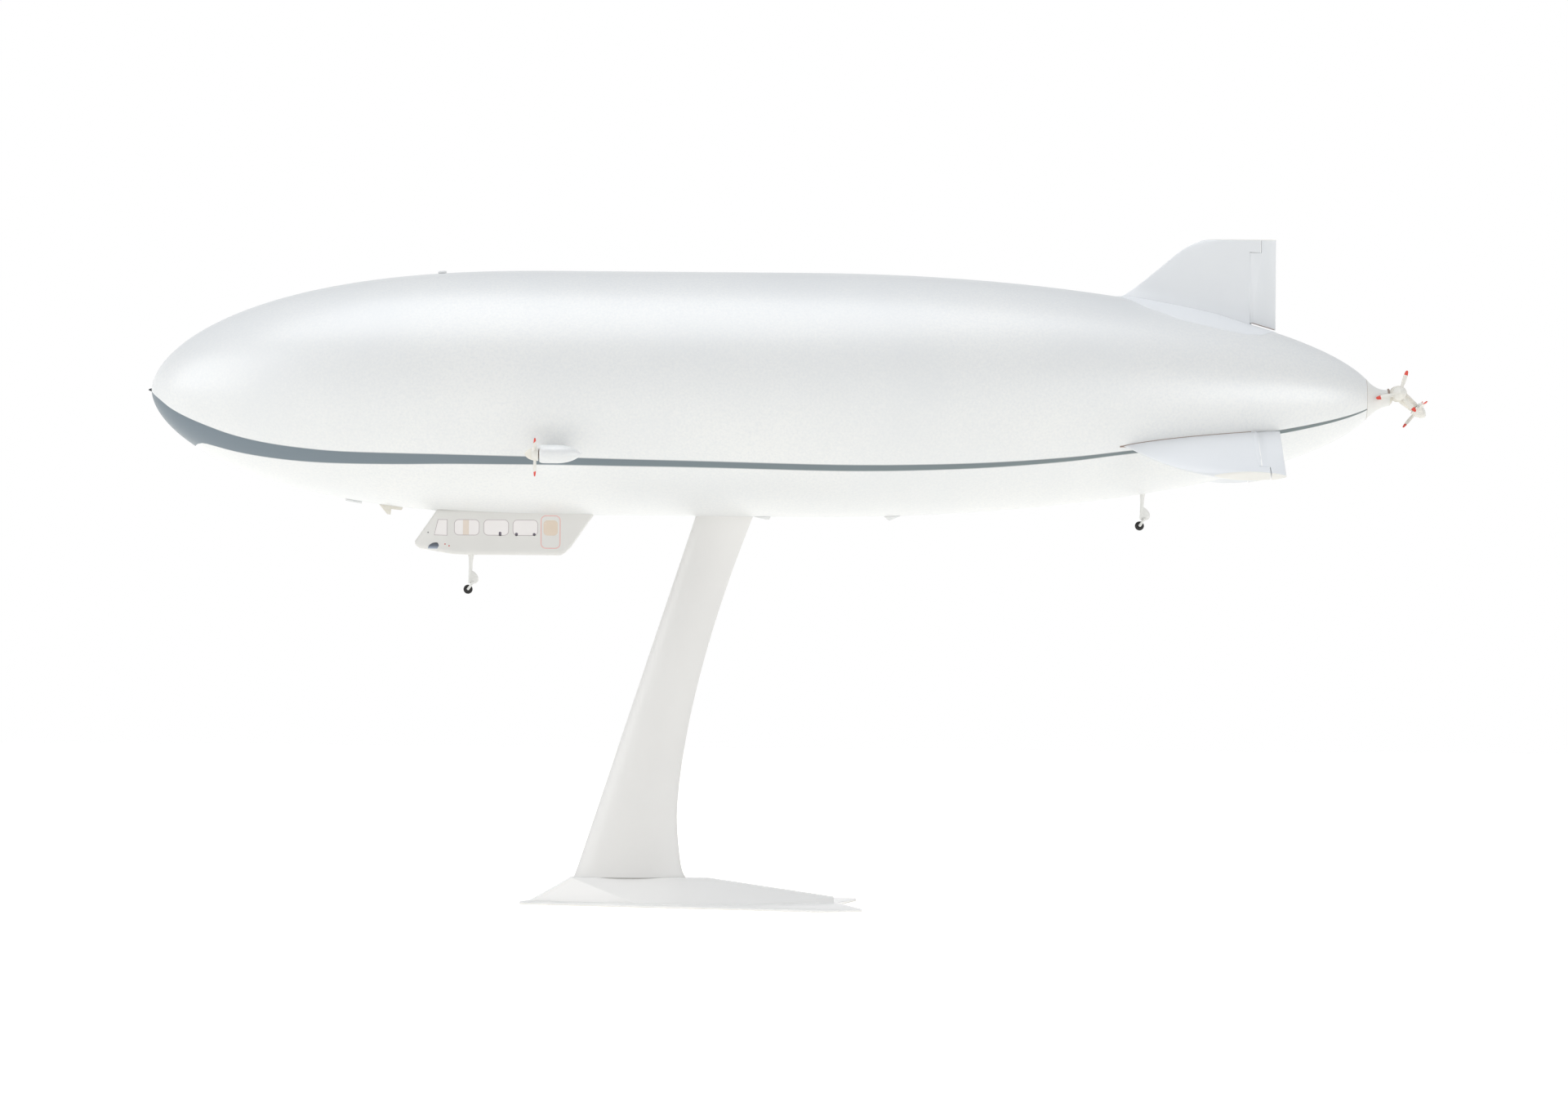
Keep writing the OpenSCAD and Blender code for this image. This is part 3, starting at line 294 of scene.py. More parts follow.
# brown for seams and collars, and for the painted shadows in the gaps at the lower fins' roots and under the
# rudder
seamAndShadowBrown = mouldedPlastic("brown_seam_and_painted_shadow_line", "#a9958a", "#8f7c72", 0.6, 1.5, flow=3)
print("materials made:", len(bpy.data.materials))


# helpers for shaping

def deselectAll():
    if bpy.context.object and bpy.context.object.mode != "OBJECT":
        bpy.ops.object.mode_set(mode="OBJECT")
    bpy.ops.object.select_all(action="DESELECT")


def pickOnly(piece):
    deselectAll()
    piece.select_set(True)
    bpy.context.view_layer.objects.active = piece


# a closed skin drawn through rings of points in mm: a circle, extruded ring by ring and moved into place
def loftRings(name, rings):
    deselectAll()
    bpy.ops.mesh.primitive_circle_add(vertices=len(rings[0]), radius=mm, fill_type="NOTHING")
    piece = bpy.context.object
    piece.name = piece.data.name = name
    bpy.ops.object.mode_set(mode="EDIT")
    bm = bmesh.from_edit_mesh(piece.data)
    order = bm.verts.layers.int.new("order")
    bm.verts.ensure_lookup_table()
    for i, vert in enumerate(bm.verts):
        vert[order] = i
        vert.co = Vector(rings[0][i]) * mm
    for ring in rings[1:]:
        bpy.ops.mesh.extrude_region_move()
        bm = bmesh.from_edit_mesh(piece.data)
        order = bm.verts.layers.int["order"]
        for vert in bm.verts:
            if vert.select:
                vert.co = Vector(ring[vert[order]]) * mm
    bmesh.update_edit_mesh(piece.data)
    bpy.ops.mesh.select_all(action="SELECT")
    bpy.ops.mesh.fill_holes(sides=0)
    bpy.ops.mesh.select_all(action="SELECT")
    bpy.ops.mesh.normals_make_consistent(inside=False)
    if bmesh.from_edit_mesh(piece.data).calc_volume(signed=True) < 0:
        bpy.ops.mesh.flip_normals()
    bpy.ops.object.mode_set(mode="OBJECT")
    piece.matrix_world = Matrix.Identity(4)
    piece.data.attributes.remove(piece.data.attributes["order"])
    return piece


def circleRing(centre, axis, radius, count):
    side = Vector((0, 0, 1)) if abs(axis.z) < 0.9 else alongX
    side = (side - axis * side.dot(axis)).normalized()
    other = axis.cross(side)
    return [Vector(centre) + (side * math.cos(a) + other * math.sin(a)) * radius for a in fullTurn(count)]


# profile points are distance along the axis and radius
def turnedPiece(name, profile, origin, axis, count=48):
    origin = Vector(origin)
    return loftRings(name, [circleRing(origin + axis * d, axis, max(r, 0.01), count) for d, r in profile])


# a round bar through points in mm
def barPiece(name, points, radii, count=24):
    rings = []
    for i, point in enumerate(points):
        along = Vector(points[min(i + 1, len(points) - 1)]) - Vector(points[max(i - 1, 0)])
        rings.append(circleRing(point, along.normalized(), radii[i], count))
    return loftRings(name, rings)


def boxPiece(name, low, high):
    corners = [(low[0], low[1]), (high[0], low[1]), (high[0], high[1]), (low[0], high[1])]
    return loftRings(name, [[(x, y, z) for x, y in corners] for z in (low[2], high[2])])


# a CAD solid as a clean mesh: doubled points merged and flat faces made whole
def copiedNode(node, name):
    piece = bpy.data.objects.new(name, frame["nodes"][node].data.copy())
    bpy.context.scene.collection.objects.link(piece)
    pickOnly(piece)
    bpy.ops.object.mode_set(mode="EDIT")
    bpy.ops.mesh.select_all(action="SELECT")
    bpy.ops.mesh.remove_doubles(threshold=2e-6)
    bpy.ops.mesh.dissolve_limited(angle_limit=math.radians(1))
    bpy.ops.object.mode_set(mode="OBJECT")
    return piece


def copiedPiece(piece, name):
    twin = piece.copy()
    twin.data = piece.data.copy()
    twin.name = twin.data.name = name
    bpy.context.scene.collection.objects.link(twin)
    return twin


def roundEdges(piece, width, segments=3, angle=30):
    pickOnly(piece)
    bevel = piece.modifiers.new("rounded edges", "BEVEL")
    bevel.width = width * mm
    bevel.segments = segments
    bevel.limit_method = "ANGLE"
    bevel.angle_limit = math.radians(angle)
    bpy.ops.object.modifier_apply(modifier=bevel.name)


def cutPiece(piece, cutter, operation="DIFFERENCE"):
    pickOnly(piece)
    cut = piece.modifiers.new("cut", "BOOLEAN")
    cut.operation = operation
    cut.solver = "EXACT"
    cut.object = cutter
    bpy.ops.object.modifier_apply(modifier=cut.name)
    bpy.data.objects.remove(cutter)


def joinPieces(pieces):
    deselectAll()
    for piece in pieces:
        piece.select_set(True)
    bpy.context.view_layer.objects.active = pieces[0]
    bpy.ops.object.join()
    return pieces[0]


def halfKept(piece, place, normal):
    pickOnly(piece)
    bpy.ops.object.mode_set(mode="EDIT")
    bpy.ops.mesh.select_all(action="SELECT")
    bpy.ops.mesh.bisect(plane_co=place, plane_no=normal, use_fill=True, clear_inner=True)
    bpy.ops.object.mode_set(mode="OBJECT")


# moves a mesh by a matrix whose lengths are in mm, and turns its faces back out where it mirrors
def placePiece(piece, matrix):
    place = matrix.copy()
    place.translation = place.translation * mm
    piece.data.transform(place)
    if place.to_3x3().determinant() < 0:
        piece.data.flip_normals()


def finishPiece(piece, material, nodes=(), angle=35, body="airship"):
    pickOnly(piece)
    bpy.ops.object.shade_smooth_by_angle(angle=math.radians(angle))
    piece.data.materials.clear()
    piece.data.materials.append(material)
    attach(piece, body)
    if nodes:
        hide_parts(*nodes)


# hull

def hullPoint(x, angle):
    r = hullRadius(x)
    return (x + noseX, r * math.cos(angle), axisZ + r * math.sin(angle))


def hullRings(stations, count):
    return [[hullPoint(x, 2 * math.pi * (i + 0.5) / count) for i in range(count)] for x in stations]


def buildHull():
    steps = hull["steps"]
    nose = [hull["noseLength"] * (i / steps) ** 2 for i in range(1, steps + 1)]
    middle = spread(hull["noseLength"], hull["tailStart"], hull["middleSteps"])[1:-1]
    tail = [hull["tailStart"] + hull["tailLength"] * (1 - (1 - i / steps) ** 2) for i in range(steps)]
    inside = [x for x in nose + middle + tail if hull["capSeam"] + 0.1 < x < hull["tailSeam"] - 0.3]
    stations = [hull["capSeam"]] + inside + [hull["tailSeam"]]
    whole = loftRings("whole_hull", hullRings(stations, hull["segments"]))
    cutPiece(whole, boxPiece("slot", hull["slotLow"], hull["slotHigh"]))
    for name, side in sides:
        half = copiedPiece(whole, "envelope_" + name)
        halfKept(half, (0, 0, 0), (0, side, 0))
        finishPiece(half, bandedPearl, ["hull_" + name + "_shell"])
    bpy.data.objects.remove(whole)
    steps = hull["capSteps"]
    tip = [0.001] + [hull["capSeam"] * (i / steps) ** 2 for i in range(1, steps + 1)]
    cap = loftRings("nose_tip_cap", hullRings(tip, hull["capSegments"]))
    finishPiece(cap, bandedPearl, ["nose_cap"])
    probe = turnedPiece("nose_mast_probe", hull["probe"], (noseX, 0, axisZ), alongX, 24)
    finishPiece(probe, darkAbs, ["nose_probe"])
    print("hull built")


buildHull()


# stand

pylon = {"base": 8, "top": 114.35, "footFront": 33, "footThick": 8, "topThick": 5, "topMiddle": 10.3,
         "topChord": 16.8, "waistX": -3, "waistHeight": 26, "trailPower": 1.6, "hullBottom": 114.15,
         "flare": 1.1, "flareHeight": 1.6, "crest": 0.2, "lens": 1.6, "count": 72, "steps": 60,
         "stepPower": 1.3,
         "tongueLow": (5.8, -1.5, 112), "tongueHigh": (14.8, 1.5, 124.15), "tongueRound": 0.3}
base = {"bevel": 0.22, "segments": 3, "crease": 14}


def pylonRing(z):
    p = pylon
    share = (z - p["base"]) / (p["hullBottom"] - p["base"])
    rise = abs(z - p["waistHeight"]) / (p["hullBottom"] - p["waistHeight"])
    flare = p["flare"] * math.exp(-(z - p["base"]) / p["flareHeight"])
    front = blendTo(-p["footFront"], p["topMiddle"] - p["topChord"] / 2, share) - flare * 0.2
    rear = blendTo(p["waistX"], p["topMiddle"] + p["topChord"] / 2, rise ** p["trailPower"]) + flare
    half = blendTo(p["footThick"], p["topThick"], share) / 2 + flare * 0.4
    middle, reach = (front + rear) / 2, (rear - front) / 2
    return [(middle + reach * (math.cos(a) - p["crest"] * math.sin(a) ** 2),
             half * signedPower(math.sin(a), p["lens"]), z) for a in fullTurn(p["count"])]


def buildStand():
    plate = copiedNode("stand_base", "base_plate")
    roundEdges(plate, base["bevel"], base["segments"], base["crease"])
    finishPiece(plate, brightenedBaseGloss, ["stand_base"], 25, "stand")
    shares = [f ** pylon["stepPower"] for f in spread(0, 1, pylon["steps"])]
    arm = loftRings("stand_arm", [pylonRing(blendTo(pylon["base"], pylon["top"], f)) for f in shares])
    tongue = boxPiece("tongue", pylon["tongueLow"], pylon["tongueHigh"])
    roundEdges(tongue, pylon["tongueRound"])
    joinPieces([arm, tongue])
    finishPiece(arm, standGloss, ["stand_pylon"], 50, "stand")
    print("stand built")


buildStand()


# fins: distances from the nose tip and heights over the hull's axis, drawn upright and turned into place

fin = {"trail": 330, "tip": 46.7, "tipChord": 24, "sweep": 50, "corner": 4.7, "thick": 3.0, "edge": 0.3,
       "hinge": 322.5, "hingeGap": 0.3, "hornHeight": 43.1, "hornLength": 2.9, "fillet": 1.6,
       "filletReach": 2.6, "sink": 0.8, "tipRound": 0.22, "seamRadius": 0.13, "strake": 1.7,
       "strakeFoot": 29.2, "strakeReach": 1.6, "lowerBulge": 2.6, "seamFoot": 287, "steps": 24,
       "flapRound": 0.14,
       "angles": {"top": 0, "port": 120, "starboard": -120},
       "hingeAcross": [(0.42, 0, -0.1), (0.87, 0, -0.1), (0.83, 0, 0.05), (0.46, 0, 0.05)],
       "footAcross": [(0, 0.02, -0.08), (0, 0.24, -0.08), (0, 0.22, 0.04), (0, 0.04, 0.04)]}
saddle = {"halfWidths": [(283, 0.4), (286, 5.9), (291.5, 11.2), (301, 14.2), (310.7, 14.0), (320.3, 12.6),
                         (326.3, 9.6), (330, 1.5)],
          "thick": 0.6, "edge": 0.14, "fade": (313, 321), "steps": 48, "count": 41, "sink": 0.5,
          "ease": 1.2}


def finLead(h, lower):
    past = max(0, (h - fin["tip"] + fin["corner"]) / fin["corner"])
    rounding = fin["corner"] * (1 - math.sqrt(max(0, 1 - past * past)))
    strake = fin["strake"] * math.exp(-max(0, h - fin["strakeFoot"]) / fin["strakeReach"])
    share = clamp((h - fin["strakeFoot"]) / (fin["tip"] - fin["strakeFoot"]))
    bulge = fin["lowerBulge"] * math.sin(math.pi * share) if lower else 0
    slant = (fin["tip"] - h) * math.tan(math.radians(fin["sweep"]))
    return fin["trail"] - fin["tipChord"] - slant + rounding - strake - bulge


# half the thickness at a place and a height
def finHalf(x, h, lower):
    lead = finLead(h, lower)
    share = clamp((x - lead) / (fin["trail"] - lead))
    half = fin["edge"] / 2 + (fin["thick"] - fin["edge"]) / 2 * math.sin(math.pi * share) ** 0.7
    return half - min(half * 0.6, max(0, h - fin["tip"] + fin["tipRound"]))


# a ring of the fixed fin: along one face to the leading edge and back along the other
def finRing(v, rear, lower):
    one, other = [], []
    for i in range(fin["steps"] + 1):
        f = (1 - math.cos(math.pi * i / fin["steps"])) / 2
        h = fin["tip"]
        for turn in range(12):
            x = blendTo(finLead(h, lower), rear, f)
            h = blendTo(hullRadius(x) - fin["sink"], fin["tip"], v)
        half = finHalf(x, h, lower)
        if not lower:
            rise = max(0, h - hullRadius(x))
            half += fin["fillet"] * math.exp(-(rise / fin["filletReach"]) ** 1.5)
        one.append((x + noseX, -half, axisZ + h))
        other.append((x + noseX, half, axisZ + h))
    return one[::-1] + other[1:]


def finBlade(name, lower):
    span = fin["tip"] - hullRadius(fin["hinge"])
    hornShare = (fin["hornHeight"] - hullRadius(fin["hinge"])) / span
    top = 1 - fin["tipRound"] / span
    low = [hornShare * f ** 1.4 for f in spread(0, 1, 18)]
    high = [blendTo(hornShare, top, f) for f in easedSteps(10)] + [blendTo(top, 1, 0.6), 1]
    blade = loftRings(name, [finRing(v, fin["hinge"] - fin["hingeGap"], lower) for v in low])
    horn = loftRings("fin_tip", [finRing(v, fin["hinge"] + fin["hornLength"], lower) for v in high])
    return joinPieces([blade, horn])


def saddleHalf(x):
    for (x0, w0), (x1, w1) in zip(saddle["halfWidths"], saddle["halfWidths"][1:]):
        if x <= x1:
            return blendTo(w0, w1, (x - x0) / (x1 - x0))
    return saddle["halfWidths"][-1][1]


# the foot of the top fin, a thin skirt that lies on the hull and thins out to its edge
def saddleRing(x):
    half = sum(saddleHalf(x + step * saddle["ease"]) for step in (-1, 0, 1)) / 3
    fade = clamp((saddle["fade"][1] - x) / (saddle["fade"][1] - saddle["fade"][0]))
    outer, inner = [], []
    for f in spread(0, 1, saddle["count"] - 1):
        a = math.pi * (f - 0.5)
        y = half * math.sin(a)
        lift = saddle["edge"] * min(1, math.cos(a) * 6) + saddle["thick"] * fade * (1 - (y / half) ** 2) ** 2
        lift *= min(1, 0.1 + (x - saddle["halfWidths"][0][0]) / 5)
        outer.append((x + noseX, y, axisZ + math.sqrt((hullRadius(x) + lift) ** 2 - y * y)))
        inner.append((x + noseX, y, axisZ + math.sqrt((hullRadius(x) - saddle["sink"]) ** 2 - y * y)))
    return outer + inner[::-1]


# a thin brown line in the corner between a lower fin's face and the hull, a painted shadow of the gap where
# the fin meets the hull
def rootGapShadow(name, side):
    rings = []
    front = finLead(hullRadius(fin["seamFoot"]), True) - 0.5
    for x in spread(front, fin["hinge"] - 1, 40):
        half = finHalf(x, hullRadius(x), True)
        h = math.sqrt(hullRadius(x) ** 2 - half * half)
        rings.append(circleRing((x + noseX, side * half, axisZ + h), alongX, fin["seamRadius"], 10))
    return loftRings(name, rings)


# thin strips on both faces of a moving surface, from places along it, heights and widths
def faceStrips(name, stations, across, lower):
    strips = []
    for side in (-1, 1):
        strips.append(loftRings(name, [[
            (x + dx + noseX, side * (finHalf(x + dx, h + dh, lower) + out), axisZ + h + dh)
            for dx, dh, out in across] for x, h in stations]))
    return joinPieces(strips)


# a painted highlight: a bright white strip on both faces of an elevator's front edge along its hinge, where
# the rounded edge catches the light
def hingeHighlightStrip(name):
    low, high = hullRadius(fin["hinge"]) + 1.2, fin["hornHeight"] - 0.5
    return faceStrips(name, [(fin["hinge"], h) for h in spread(low, high, 12)], fin["hingeAcross"], True)


# a painted shadow: thin brown strips on both faces of the rudder just above its foot, where the gap under it
# lies in shade
def rudderFootShadow(name):
    fall = (hullRadius(fin["trail"]) - hullRadius(fin["hinge"])) / (fin["trail"] - fin["hinge"])
    low = hullRadius(fin["hinge"]) + 0.6
    places = spread(fin["hinge"] + 0.3, fin["trail"] - 0.3, 12)
    return faceStrips(name, [(x, low + fall * (x - fin["hinge"])) for x in places], fin["footAcross"], False)


def turnedRound(piece, angle):
    spin = Matrix.Translation((0, 0, axisZ)) @ Matrix.Rotation(math.radians(angle), 4, "X")
    placePiece(piece, spin @ Matrix.Translation((0, 0, -axisZ)))


def buildFins():
    flap = copiedNode("rudder", "control_flap")
    for name, angle in fin["angles"].items():
        lower = name != "top"
        node = name + "_elevator" if lower else "rudder"
        fixed = finBlade(name + "_fin_blade", lower)
        turnedRound(fixed, angle)
        finishPiece(fixed, finLacquer, [name + "_fin"], 40)
        moving = copiedPiece(flap, name + "_control_flap")
        turnedRound(moving, angle)
        roundEdges(moving, fin["flapRound"], 2, 40)
        finishPiece(moving, finLacquer, [node], 40, node + "_body")
        if lower:
            rootShadow = joinPieces([rootGapShadow(name + "_fin_root_shadow", side) for side in (-1, 1)])
            turnedRound(rootShadow, angle)
            finishPiece(rootShadow, seamAndShadowBrown)
            strip = hingeHighlightStrip(name + "_painted_hinge_highlight")
            turnedRound(strip, angle)
            finishPiece(strip, hingeHighlightWhite, body=node + "_body")
    finishPiece(rudderFootShadow("rudder_foot_shadow"), seamAndShadowBrown, body="rudder_body")
    bpy.data.objects.remove(flap)
    places = spread(saddle["halfWidths"][0][0], saddle["halfWidths"][-1][0], saddle["steps"])
    skirt = loftRings("top_fin_saddle", [saddleRing(x) for x in places])
    finishPiece(skirt, finLacquer, angle=60)
    print("fins built")


buildFins()


# propellers, about a hub whose rear face is at zero and whose nose points to -X

propeller = {"radius": 6.6, "hubRadius": 2.0, "hubLength": 2.0, "noseLength": 2.0, "bore": 0.55, "blades": 3,
             "steps": 16, "count": 20, "rootRadius": 1.4, "rootWidth": 1.0, "wideWidth": 1.62,
             "tipWidth": 0.9, "wideAt": 0.62, "roundFrom": 0.9, "rootThick": 0.6, "tipThick": 0.3,
             "rootPitch": 40, "tipPitch": 26, "ogivePower": 2.3, "ogiveRound": 0.62, "split": 0.5,
             "splitGap": 0.004}


def bladeRing(f, radius):
    p = propeller
    if f > p["wideAt"]:
        width = blendTo(p["wideWidth"], p["tipWidth"], (f - p["wideAt"]) / (1 - p["wideAt"]))
    else:
        width = blendTo(p["rootWidth"], p["wideWidth"], math.sin(math.pi * (f / p["wideAt"]) / 2))
    if f > p["roundFrom"]:
        width *= math.sqrt(max(0.06, 1 - ((f - p["roundFrom"]) / (1 - p["roundFrom"])) ** 2))
    thick = blendTo(p["rootThick"], p["tipThick"], f)
    pitch = math.radians(blendTo(p["rootPitch"], p["tipPitch"], f))
    ring = []
    for a in fullTurn(p["count"]):
        u, t = width / 2 * math.cos(a), thick / 2 * math.sin(a)
        x = t * math.cos(pitch) - u * math.sin(pitch)
        y = u * math.cos(pitch) + t * math.sin(pitch)
        ring.append((x - p["hubLength"] / 2, y, blendTo(p["rootRadius"], radius, f)))
    return ring


# an ogive from the hub's rear face to its nose, cut where the spinner starts
def ogiveProfile(start, end):
    p = propeller
    profile = []
    for step in easedSteps(24):
        f = blendTo(start, end, step)
        share = max(0, 1 - f ** p["ogivePower"]) ** p["ogiveRound"]
        profile.append((-(p["hubLength"] + p["noseLength"]) * f, p["hubRadius"] * share))
    return profile


def hubProfile(closed):
    p = propeller
    rear = [(0, p["bore"]), (0, p["hubRadius"] - 0.2)]
    if closed:
        return rear + ogiveProfile(0.02, 1)
    return rear + ogiveProfile(0.02, p["split"] - p["splitGap"]) + [(0.01 - p["hubLength"], p["bore"])]


def buildPropeller(name, firstAngle, closed, matrix, body, node, radius=propeller["radius"]):
    pieces = [turnedPiece(name, hubProfile(closed), (0, 0, 0), alongX)]
    for i in range(propeller["blades"]):
        blade = loftRings("blade", [bladeRing(f, radius) for f in easedSteps(propeller["steps"])])
        placePiece(blade, Matrix.Rotation(math.radians(firstAngle + 360 * i / propeller["blades"]), 4, "X"))
        pieces.append(blade)
    whole = joinPieces(pieces)
    reach = whole.data.attributes.new("reach", "FLOAT", "POINT")
    for i, vert in enumerate(whole.data.vertices):
        reach.data[i].value = math.hypot(vert.co.y, vert.co.z) / (radius * mm)
    placePiece(whole, matrix)
    finishPiece(whole, propAbs, [node], 40, body)


# side engines

engine = {"x": -39, "y": 42, "z": 131.5, "radius": 2.65, "front": 4.4, "rear": 7.7, "gap": 0.3,
          "armChord": 7, "armThick": 2.4, "armRoot": 28.5, "armEnd": 39.05, "hullSide": 30.8,
          "propAngle": 192,
          "pin": [(0, 0.8), (3.4, 0.8)], "pinStart": 38.5,
          "collar": [(0.06, 0.6), (0.06, 1.5), (-0.2, 1.4), (-0.24, 1.2), (-0.24, 0.6)],
          "lip": [(0.05, 0.8), (0, 0.86), (0.12, 0.9), (0.4, 0.95), (0.8, 0.985), (1.3, 1)]}


# a rounded lip in front, a straight middle and a tapered rear
def nacelleProfile():
    radius, front, rear = engine["radius"], engine["front"], engine["rear"]
    lip = [(0.1 - front, 0.6)] + [(d - front, share * radius) for d, share in engine["lip"]]
    body = [(rear * f, radius * (1 - f ** 2.4) ** 0.8) for f in spread(0, 1, 30)[:-1]]
    return lip + [(-1.2, radius)] + body + [(rear - 0.05, 0.14 * radius), (rear, 0.06 * radius)]


# the arm is flared where it meets the hull and a little where it meets the engine
def armRing(y, side):
    flare = 0.9 * math.exp(-max(0, y - engine["hullSide"]) / 0.8)
    flare += 0.25 * math.exp(-max(0, engine["armEnd"] - y) / 0.5)
    chord, thick = engine["armChord"] / 2 + flare, engine["armThick"] / 2 + flare * 0.6
    return [(engine["x"] + chord * math.cos(a), side * y,
             engine["z"] + thick * signedPower(math.sin(a), 1.25)) for a in fullTurn(40)]


def buildEngines():
    x, z, front = engine["x"], engine["z"], engine["x"] - engine["front"]
    for name, side in sides:
        y = side * engine["y"]
        ys = spread(engine["armRoot"], engine["armEnd"], 24)
        arm = loftRings(name + "_engine_arm", [armRing(along, side) for along in ys])
        pin = turnedPiece("pin", engine["pin"], (x, side * engine["pinStart"], z), side * alongY, 24)
        finishPiece(joinPieces([arm, pin]), plainPearl, [name + "_outrigger"], 40)
        pod = turnedPiece(name + "_engine_pod", nacelleProfile(), (x, y, z), alongX, 64)
        finishPiece(pod, plainPearl, [name + "_nacelle"], 40, name + "_engine")
        collar = turnedPiece(name + "_shaft_collar", engine["collar"], (front, y, z), alongX, 40)
        finishPiece(collar, seamAndShadowBrown, (), 40, name + "_engine")
        mirror = Matrix.Scale(side, 4, (0, 1, 0))
        place = mirror @ Matrix.Translation((front - engine["gap"], engine["y"], z))
        buildPropeller(name + "_side_propeller", engine["propAngle"], False, place, name + "_prop",
                       name + "_propeller")
        nose = ogiveProfile(propeller["split"] + propeller["splitGap"], 1)
        spinner = turnedPiece(name + "_prop_spinner", nose, (0, 0, 0), alongX)
        placePiece(spinner, place)
        finishPiece(spinner, warmAbs, [name + "_spinner"], 40, name + "_prop")
    print("side engines built")


buildEngines()


# tail drive

tail = {"seamX": 198.7, "coneLength": 7, "coneRadius": 2.4, "conePower": 2.2, "coneRise": 0.5,
        "shaftX": 208.3, "shaftZ": 151.7, "lateralY": 3.8, "lateralTurn": 18, "lateralRadius": 7.1,
        "rearAngle": 40,
        "rearStart": 6.5, "rearTurn": 60, "drumRadius": 2.2, "drumHalf": 1.95, "cheekRadius": 2.35,
        "cheekStart": 2.3, "cheekEnd": 3.4, "tubeRadius": 1.55, "tubeStart": 2.32, "strapTall": 1.52,
        "count": 56,
        "neck": [(205.6, 150.45, 2.3), (206.0, 150.65, 2.15), (206.45, 150.9, 1.9), (206.62, 151.2, 1.3),
                 (206.8, 151.4, 1.1), (207.4, 151.6, 1.0)],
        "drumEdge": [(0, -0.55), (-0.12, -0.25), (-0.35, -0.06), (-0.65, 0)],
        "tube": [(3, 0), (4.4, 0), (5.8, 0), (6.25, 0.1), (6.45, 0.35), (6.45, 0.95)],
        "strap": [(0.2, 2.82, 0.45, 0.9), (1.4, 2.82, 0.46, 0.98), (2.5, 2.72, 0.5, 1), (3.3, 2.2, 0.75, 1),
                  (4.1, 1.4, 0.8, 1), (5.0, 0.7, 0.75, 0.98), (5.6, 0.4, 0.7, 0.9)],
        "seam": [(-0.1, -0.2), (-0.1, 0.03), (0.08, -0.03), (0.08, -0.2)],
        "collar": [(-0.6, 0.02), (-0.5, 0.25), (-0.3, 0.3), (-0.05, 0.24), (0, 0.1), (0, -0.1)],
        "collarCut": 1.1}


# a round piece about the local X axis, from distances along it and radii
def tubePiece(name, profile, matrix):
    tube = turnedPiece(name, profile, (0, 0, 0), alongX, tail["count"])
    placePiece(tube, matrix)
    return tube


def strapRing(along, middle, half, tall):
    return [(along, middle + half * signedPower(math.cos(a), 0.6), tall * signedPower(math.sin(a), 0.6))
            for a in fullTurn(32)]


# the elbow's tube starts hollowed out round the drum, so that it can turn about it
def tubeRings():
    rings = []
    for share in (0.05, 0.35, 0.65, 0.88, 1):
        ring = circleRing((0, 0, 0), alongX, share * tail["tubeRadius"], tail["count"])
        rings.append([(math.sqrt(tail["tubeStart"] ** 2 - p.z * p.z), p.y, p.z) for p in ring])
    for along, trim in tail["tube"]:
        rings.append(circleRing((along, 0, 0), alongX, tail["tubeRadius"] - trim, tail["count"]))
    return rings


# the gear case ends in a drum round the cross shaft, and the elbow holds that drum between two round cheeks
def buildDrive(shaft, turn):
    case = loftRings("tail_gear_case", [circleRing((x, 0, z), alongX, r, tail["count"])
                                        for x, z, r in tail["neck"]])
    half, radius = tail["drumHalf"], tail["drumRadius"]
    edge = [(half, 0.65)] + [(half + d, radius + r) for d, r in tail["drumEdge"]]
    drum = [(-d, r) for d, r in edge] + edge[::-1]
    case = joinPieces([case, tubePiece("drum", drum, shaft @ Matrix.Rotation(math.radians(90), 4, "Z"))])
    finishPiece(case, warmAbs, ["tail_gearbox"], 40)
    tube = loftRings("rear_drive_elbow", tubeRings())
    placePiece(tube, turn)
    pieces = [tube]
    low, high, wide = tail["cheekStart"], tail["cheekEnd"], tail["cheekRadius"]
    cheek = [(low, 0.7), (low, wide - 0.1), (low + 0.1, wide), (low + 0.35, wide), (high - 0.3, wide - 0.3),
             (high - 0.08, wide - 0.6), (high, wide - 0.9), (high, 0.7)]
    for side in (-1, 1):
        pieces.append(tubePiece("cheek", cheek, turn @ Matrix.Rotation(math.radians(90 * side), 4, "Z")))
        strap = loftRings("strap", [strapRing(along, side * middle, thick, tail["strapTall"] * tall)
                                    for along, middle, thick, tall in tail["strap"]])
        placePiece(strap, turn)
        pieces.append(strap)
    finishPiece(joinPieces(pieces), warmAbs, ["rear_swivel_housing"], 50, "rear_unit")


